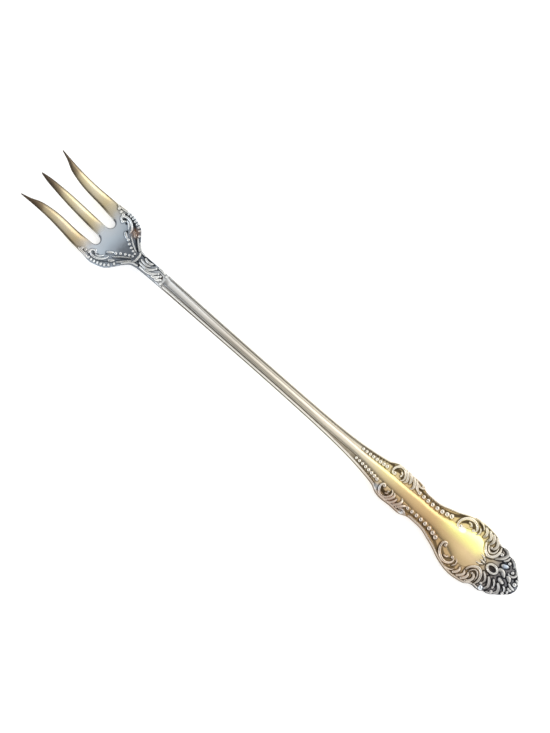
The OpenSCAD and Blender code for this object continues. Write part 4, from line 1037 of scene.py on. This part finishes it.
def relief_pieces():
    """Every relief element, one piece for each node. They come before the blank, which darkens round them."""
    stem_reed = edge_reed(*STEM_REED, REED_WIDTH, REED_HEIGHT)
    waist_reed = edge_reed(*WAIST_REED, REED_WIDTH, REED_HEIGHT, dull=REED_DULL)
    pair("stem_reed", relief, [stem_reed])
    pair("waist_reed", relief, [waist_reed])
    pair("stem_beads", relief, bead_row(STEM_BEAD_ROW, STEM_BEAD))
    pair("handle_beads", relief, bead_row(HANDLE_BEAD_ROW, HANDLE_BEAD))
    pair("waist_scroll", relief, [
        edge_reed(*WAIST_SCROLL_REED, *SCROLL_REED),
        *ridges(WAIST_CURLS, *WAIST_CURL, steps=80),
        *ridges(WAIST_THREADS, *FINE_THREAD),
        *ridges(WAIST_LEAVES, *HANDLE_LEAF, veins=2),
        *balls(WAIST_BALLS)])
    pair("end_scroll", relief, [
        *ridges(END_CURLS, *END_CURL, steps=96),
        *ridges(END_THREADS, *END_THREAD),
        *ridges(END_LEAVES, *HANDLE_LEAF, veins=2),
        edge_reed(*END_SCROLL_REED, *SCROLL_REED, dull=REED_DULL),
        *balls(END_BALLS)])
    for side in (1, -1):
        piece(f"crest_leaves_{SIDE_NAMES[side]}", relief, crest_leaves(side))
    tongues = ridges(CREST_TONGUES, *FINE_THREAD)
    piece("crest_eyelet", relief, [
        eyelet(), *tongues, mirrored(tongues[0]), ridge(CREST_TIP, *CREST_TIP_LEAF, sides=(1,))])
    pair("shoulder_border", relief, [
        *shoulder_ribs(),
        edge_reed(*SHOULDER_REED, REED_WIDTH, SMALL_LEAF_HEIGHT),
        edge_reed(*ROOT_REED, THREAD_WIDTH, SMALL_LEAF_HEIGHT)])
    pair("shoulder_scroll", relief, [
        *ridges(SHOULDER_CURLS, *SMALL_LEAF, steps=90),
        *ridges(SHOULDER_THREADS, *SHOULDER_THREAD),
        *ridges(SHOULDER_LEAVES, *SHOULDER_LEAF, veins=2),
        *balls(SHOULDER_BALLS)])
    graded = 1 - (1 - LEAST_BEAD) * np.linspace(0, 1, len(NECK_BEADS))
    pair("shoulder_beads", relief, [
        *[bead(place, SHOULDER_BEAD) for place in ROOT_BEADS],
        *[bead(place, SHOULDER_BEAD * size) for place, size in zip(NECK_BEADS, graded)]])
    half = NECK_WIDTH / 2
    leaves = [section_places("neck", half, path) for path in NECK_LEAVES]
    neck_balls = section_places("neck", half, NECK_BALLS)
    piece("neck_leaves", relief, [
        *ridges(leaves, *SMALL_LEAF, sides=(1,)),
        *[bead(place, SHOULDER_BEAD * LEAST_BEAD, sides=(1,)) for place in neck_balls]])
    piece("shank", panel_silver, [
        crowned(NECK_END + SEAM, SHANK_END, SHANK_CROWN, SHANK_CROWNS, 420, 44)])
    piece("panel", panel_silver, [
        crowned(SHANK_END, PANEL_END + TONGUE_REACH, PANEL_CROWN, PANEL_CROWNS, 320, 110)])


def blank_pieces():
    """The regions of the blank, one piece for each node."""
    root = smooth(EDGE, TINE_END) - SLOT_X - SLOT / 2

    def outer_half(s):
        return root / 2 * smooth(OUTER_TINE_SHARES, s / TINE_END)

    pair("tine", straw_silver, [tine_skin(lambda s: smooth(EDGE, s) - outer_half(s), outer_half)])
    piece("tine_middle", straw_silver, [
        tine_skin(lambda s: 0 * s, lambda s: MIDDLE_TINE / 2 * smooth(MIDDLE_TINE_SHARES, s / TINE_END))])
    piece("bowl", bright, [bowl_skin()])
    piece("neck", bright, [plate(BOWL_END, NECK_END, 80, 60)])
    piece("stem", bright, [plate(NECK_END, STEM_END, 420, 40)])
    piece("handle", bright, [plate(STEM_END, PANEL_END, 300, 150)])
    piece("crest", bright, [plate(PANEL_END, FORK_LENGTH, 190, 150, end_radius=END_ROUND)])


relief_pieces()
blank_pieces()


# Studio. All sizes are in metres

FLOOR_RADIUS, WALL_BEND, WALL_TOP, FLOOR_SIDES = 2.0, 0.8, 1.6, 96
PAPER = "#f4f4f2"
# How brightly the paper shows to the camera and in reflections, beside the light that falls on it
PAPER_GLOW = 0.62


def studio_floor():
    """Pale seamless floor: a disc that turns up into a low wall all round, as a surface of revolution."""
    flat = np.linspace(0.001, FLOOR_RADIUS, 12)
    turn = np.linspace(0, math.pi / 2, 14)[1:]
    radius = np.concatenate([flat, FLOOR_RADIUS + WALL_BEND * np.sin(turn), [FLOOR_RADIUS + WALL_BEND]])
    height = np.concatenate([0 * flat, WALL_BEND - WALL_BEND * np.cos(turn), [WALL_TOP]])
    angle = np.linspace(0, math.tau, FLOOR_SIDES, endpoint=False)[:, None]
    points = np.stack([radius * np.cos(angle), radius * np.sin(angle), height + 0 * angle], axis=-1)
    n = len(radius)
    i, j = np.meshgrid(np.arange(FLOOR_SIDES), np.arange(n - 1), indexing="ij")
    after = (i + 1) % FLOOR_SIDES
    quads = np.stack([i * n + j, i * n + j + 1, after * n + j + 1, after * n + j], axis=-1).reshape(-1, 4)
    centre = list(range(0, FLOOR_SIDES * n, n))
    mesh = bpy.data.meshes.new("studio_floor")
    mesh.from_pydata(points.reshape(-1, 3).tolist(), [], [*quads.tolist(), centre])
    mesh.shade_smooth()
    floor = bpy.data.objects.new("studio_floor", mesh)
    bpy.context.scene.collection.objects.link(floor)
    mesh.materials.append(white_paper())


def white_paper():
    """Matte white paper: no gloss, and so bright to the camera and in reflections that only shadow shows."""
    material = bpy.data.materials.new("white_paper")
    material.use_nodes = True
    tree = material.node_tree
    tree.nodes.clear()
    rays = add(tree, "ShaderNodeLightPath").outputs
    seen = add(tree, "ShaderNodeMath", {0: rays["Is Camera Ray"], 1: rays["Is Glossy Ray"]},
               operation="MAXIMUM")
    seen = add(tree, "ShaderNodeMath", {0: seen.outputs[0], 1: rays["Is Transmission Ray"]},
               operation="MAXIMUM")
    strength = add(tree, "ShaderNodeMath", {0: seen.outputs[0], 1: PAPER_GLOW}, operation="MULTIPLY")
    glow = add(tree, "ShaderNodeEmission", {"Color": (1, 1, 1, 1), "Strength": strength.outputs[0]})
    paper = add(tree, "ShaderNodeBsdfDiffuse", {"Color": linear(PAPER)})
    both = add(tree, "ShaderNodeAddShader", {0: glow.outputs[0], 1: paper.outputs[0]})
    add(tree, "ShaderNodeOutputMaterial", {"Surface": both.outputs[0]})
    return material


def lamp(name, place, size, power, colour):
    """Square soft box at a place in metres, aimed at the fork."""
    light = bpy.data.lights.new(name, "AREA")
    light.shape = "SQUARE"
    light.size, light.energy, light.color = size, power, linear(colour)[:3]
    holder = bpy.data.objects.new(name, light)
    holder.location = place
    holder.rotation_euler = (-Vector(place)).to_track_quat("-Z", "Y").to_euler()
    bpy.context.scene.collection.objects.link(holder)


# Level way from the dark side of the tent to its window side
WINDOW_WAY = (0.645, -0.765, 0.0)
SKY = [
    (0.0, "#e4ecf8"), (0.08, "#c8d0dc"), (0.17, "#7a8087"), (0.33, "#8f8d89"), (0.48, "#d6d3cd"),
    (0.59, "#efece6"), (0.66, "#f8f5ee"), (0.76, "#ffffff"), (1.0, "#fffcf4")]


def studio_light():
    """World and lamps. The sky is a soft tent. It is bright and warm towards the handle's right side, even
    overhead, dark towards the head's left side, and cool again low down there."""
    world = bpy.data.worlds.new("soft_tent")
    bpy.context.scene.world = world
    world.use_nodes = True
    tree = world.node_tree
    tree.nodes.clear()
    way = add(tree, "ShaderNodeTexCoord").outputs["Generated"]
    across = add(tree, "ShaderNodeVectorMath", {0: way, 1: WINDOW_WAY}, operation="DOT_PRODUCT")
    place = add(tree, "ShaderNodeMapRange", {
        "Value": across.outputs["Value"], "From Min": -1.0, "From Max": 1.0})
    sky = add(tree, "ShaderNodeValToRGB", {"Fac": place.outputs["Result"]}, SKY).outputs["Color"]
    ground = add(tree, "ShaderNodeBackground", {"Color": sky, "Strength": 1.0})
    add(tree, "ShaderNodeOutputWorld", {"Surface": ground.outputs[0]})
    lamp("right_window", (0.9, -0.5, 0.9), 0.7, 2.6, "#fff6e8")
    lamp("left_fill", (-0.9, 0.6, 0.6), 0.6, 1.5, "#e8f0ff")


# The camera leans to the fork's left and is turned so that the handle runs down to the right. Degrees,
# metres, and the lens in millimetres
LEAN, TURN, DISTANCE, LENS = 16, 41.03, 0.4, 82.12
TARGET = (0.00146, 0.00338, 0.00578)


def camera():
    """Camera at the photograph's viewing angle."""
    lean, turn = math.radians(LEAN), math.radians(TURN)
    away = Vector((-math.sin(lean), 0, math.cos(lean)))
    handle_way = Vector((0, -1, 0))
    right_way = Vector((math.cos(lean), 0, math.sin(lean)))
    right = math.cos(turn) * handle_way + math.sin(turn) * right_way
    up = math.cos(turn) * right_way - math.sin(turn) * handle_way
    data = bpy.data.cameras.new("camera")
    data.lens, data.sensor_width, data.sensor_fit = LENS, 36.0, "AUTO"
    data.clip_start, data.clip_end = 0.01, 20
    made = bpy.data.objects.new("camera", data)
    made.matrix_world = Matrix((right, up, away)).transposed().to_4x4()
    made.location = Vector(TARGET) + away * DISTANCE
    bpy.context.scene.collection.objects.link(made)
    bpy.context.scene.camera = made


studio_floor()
studio_light()
camera()
bpy.context.scene.view_settings.view_transform = "Standard"
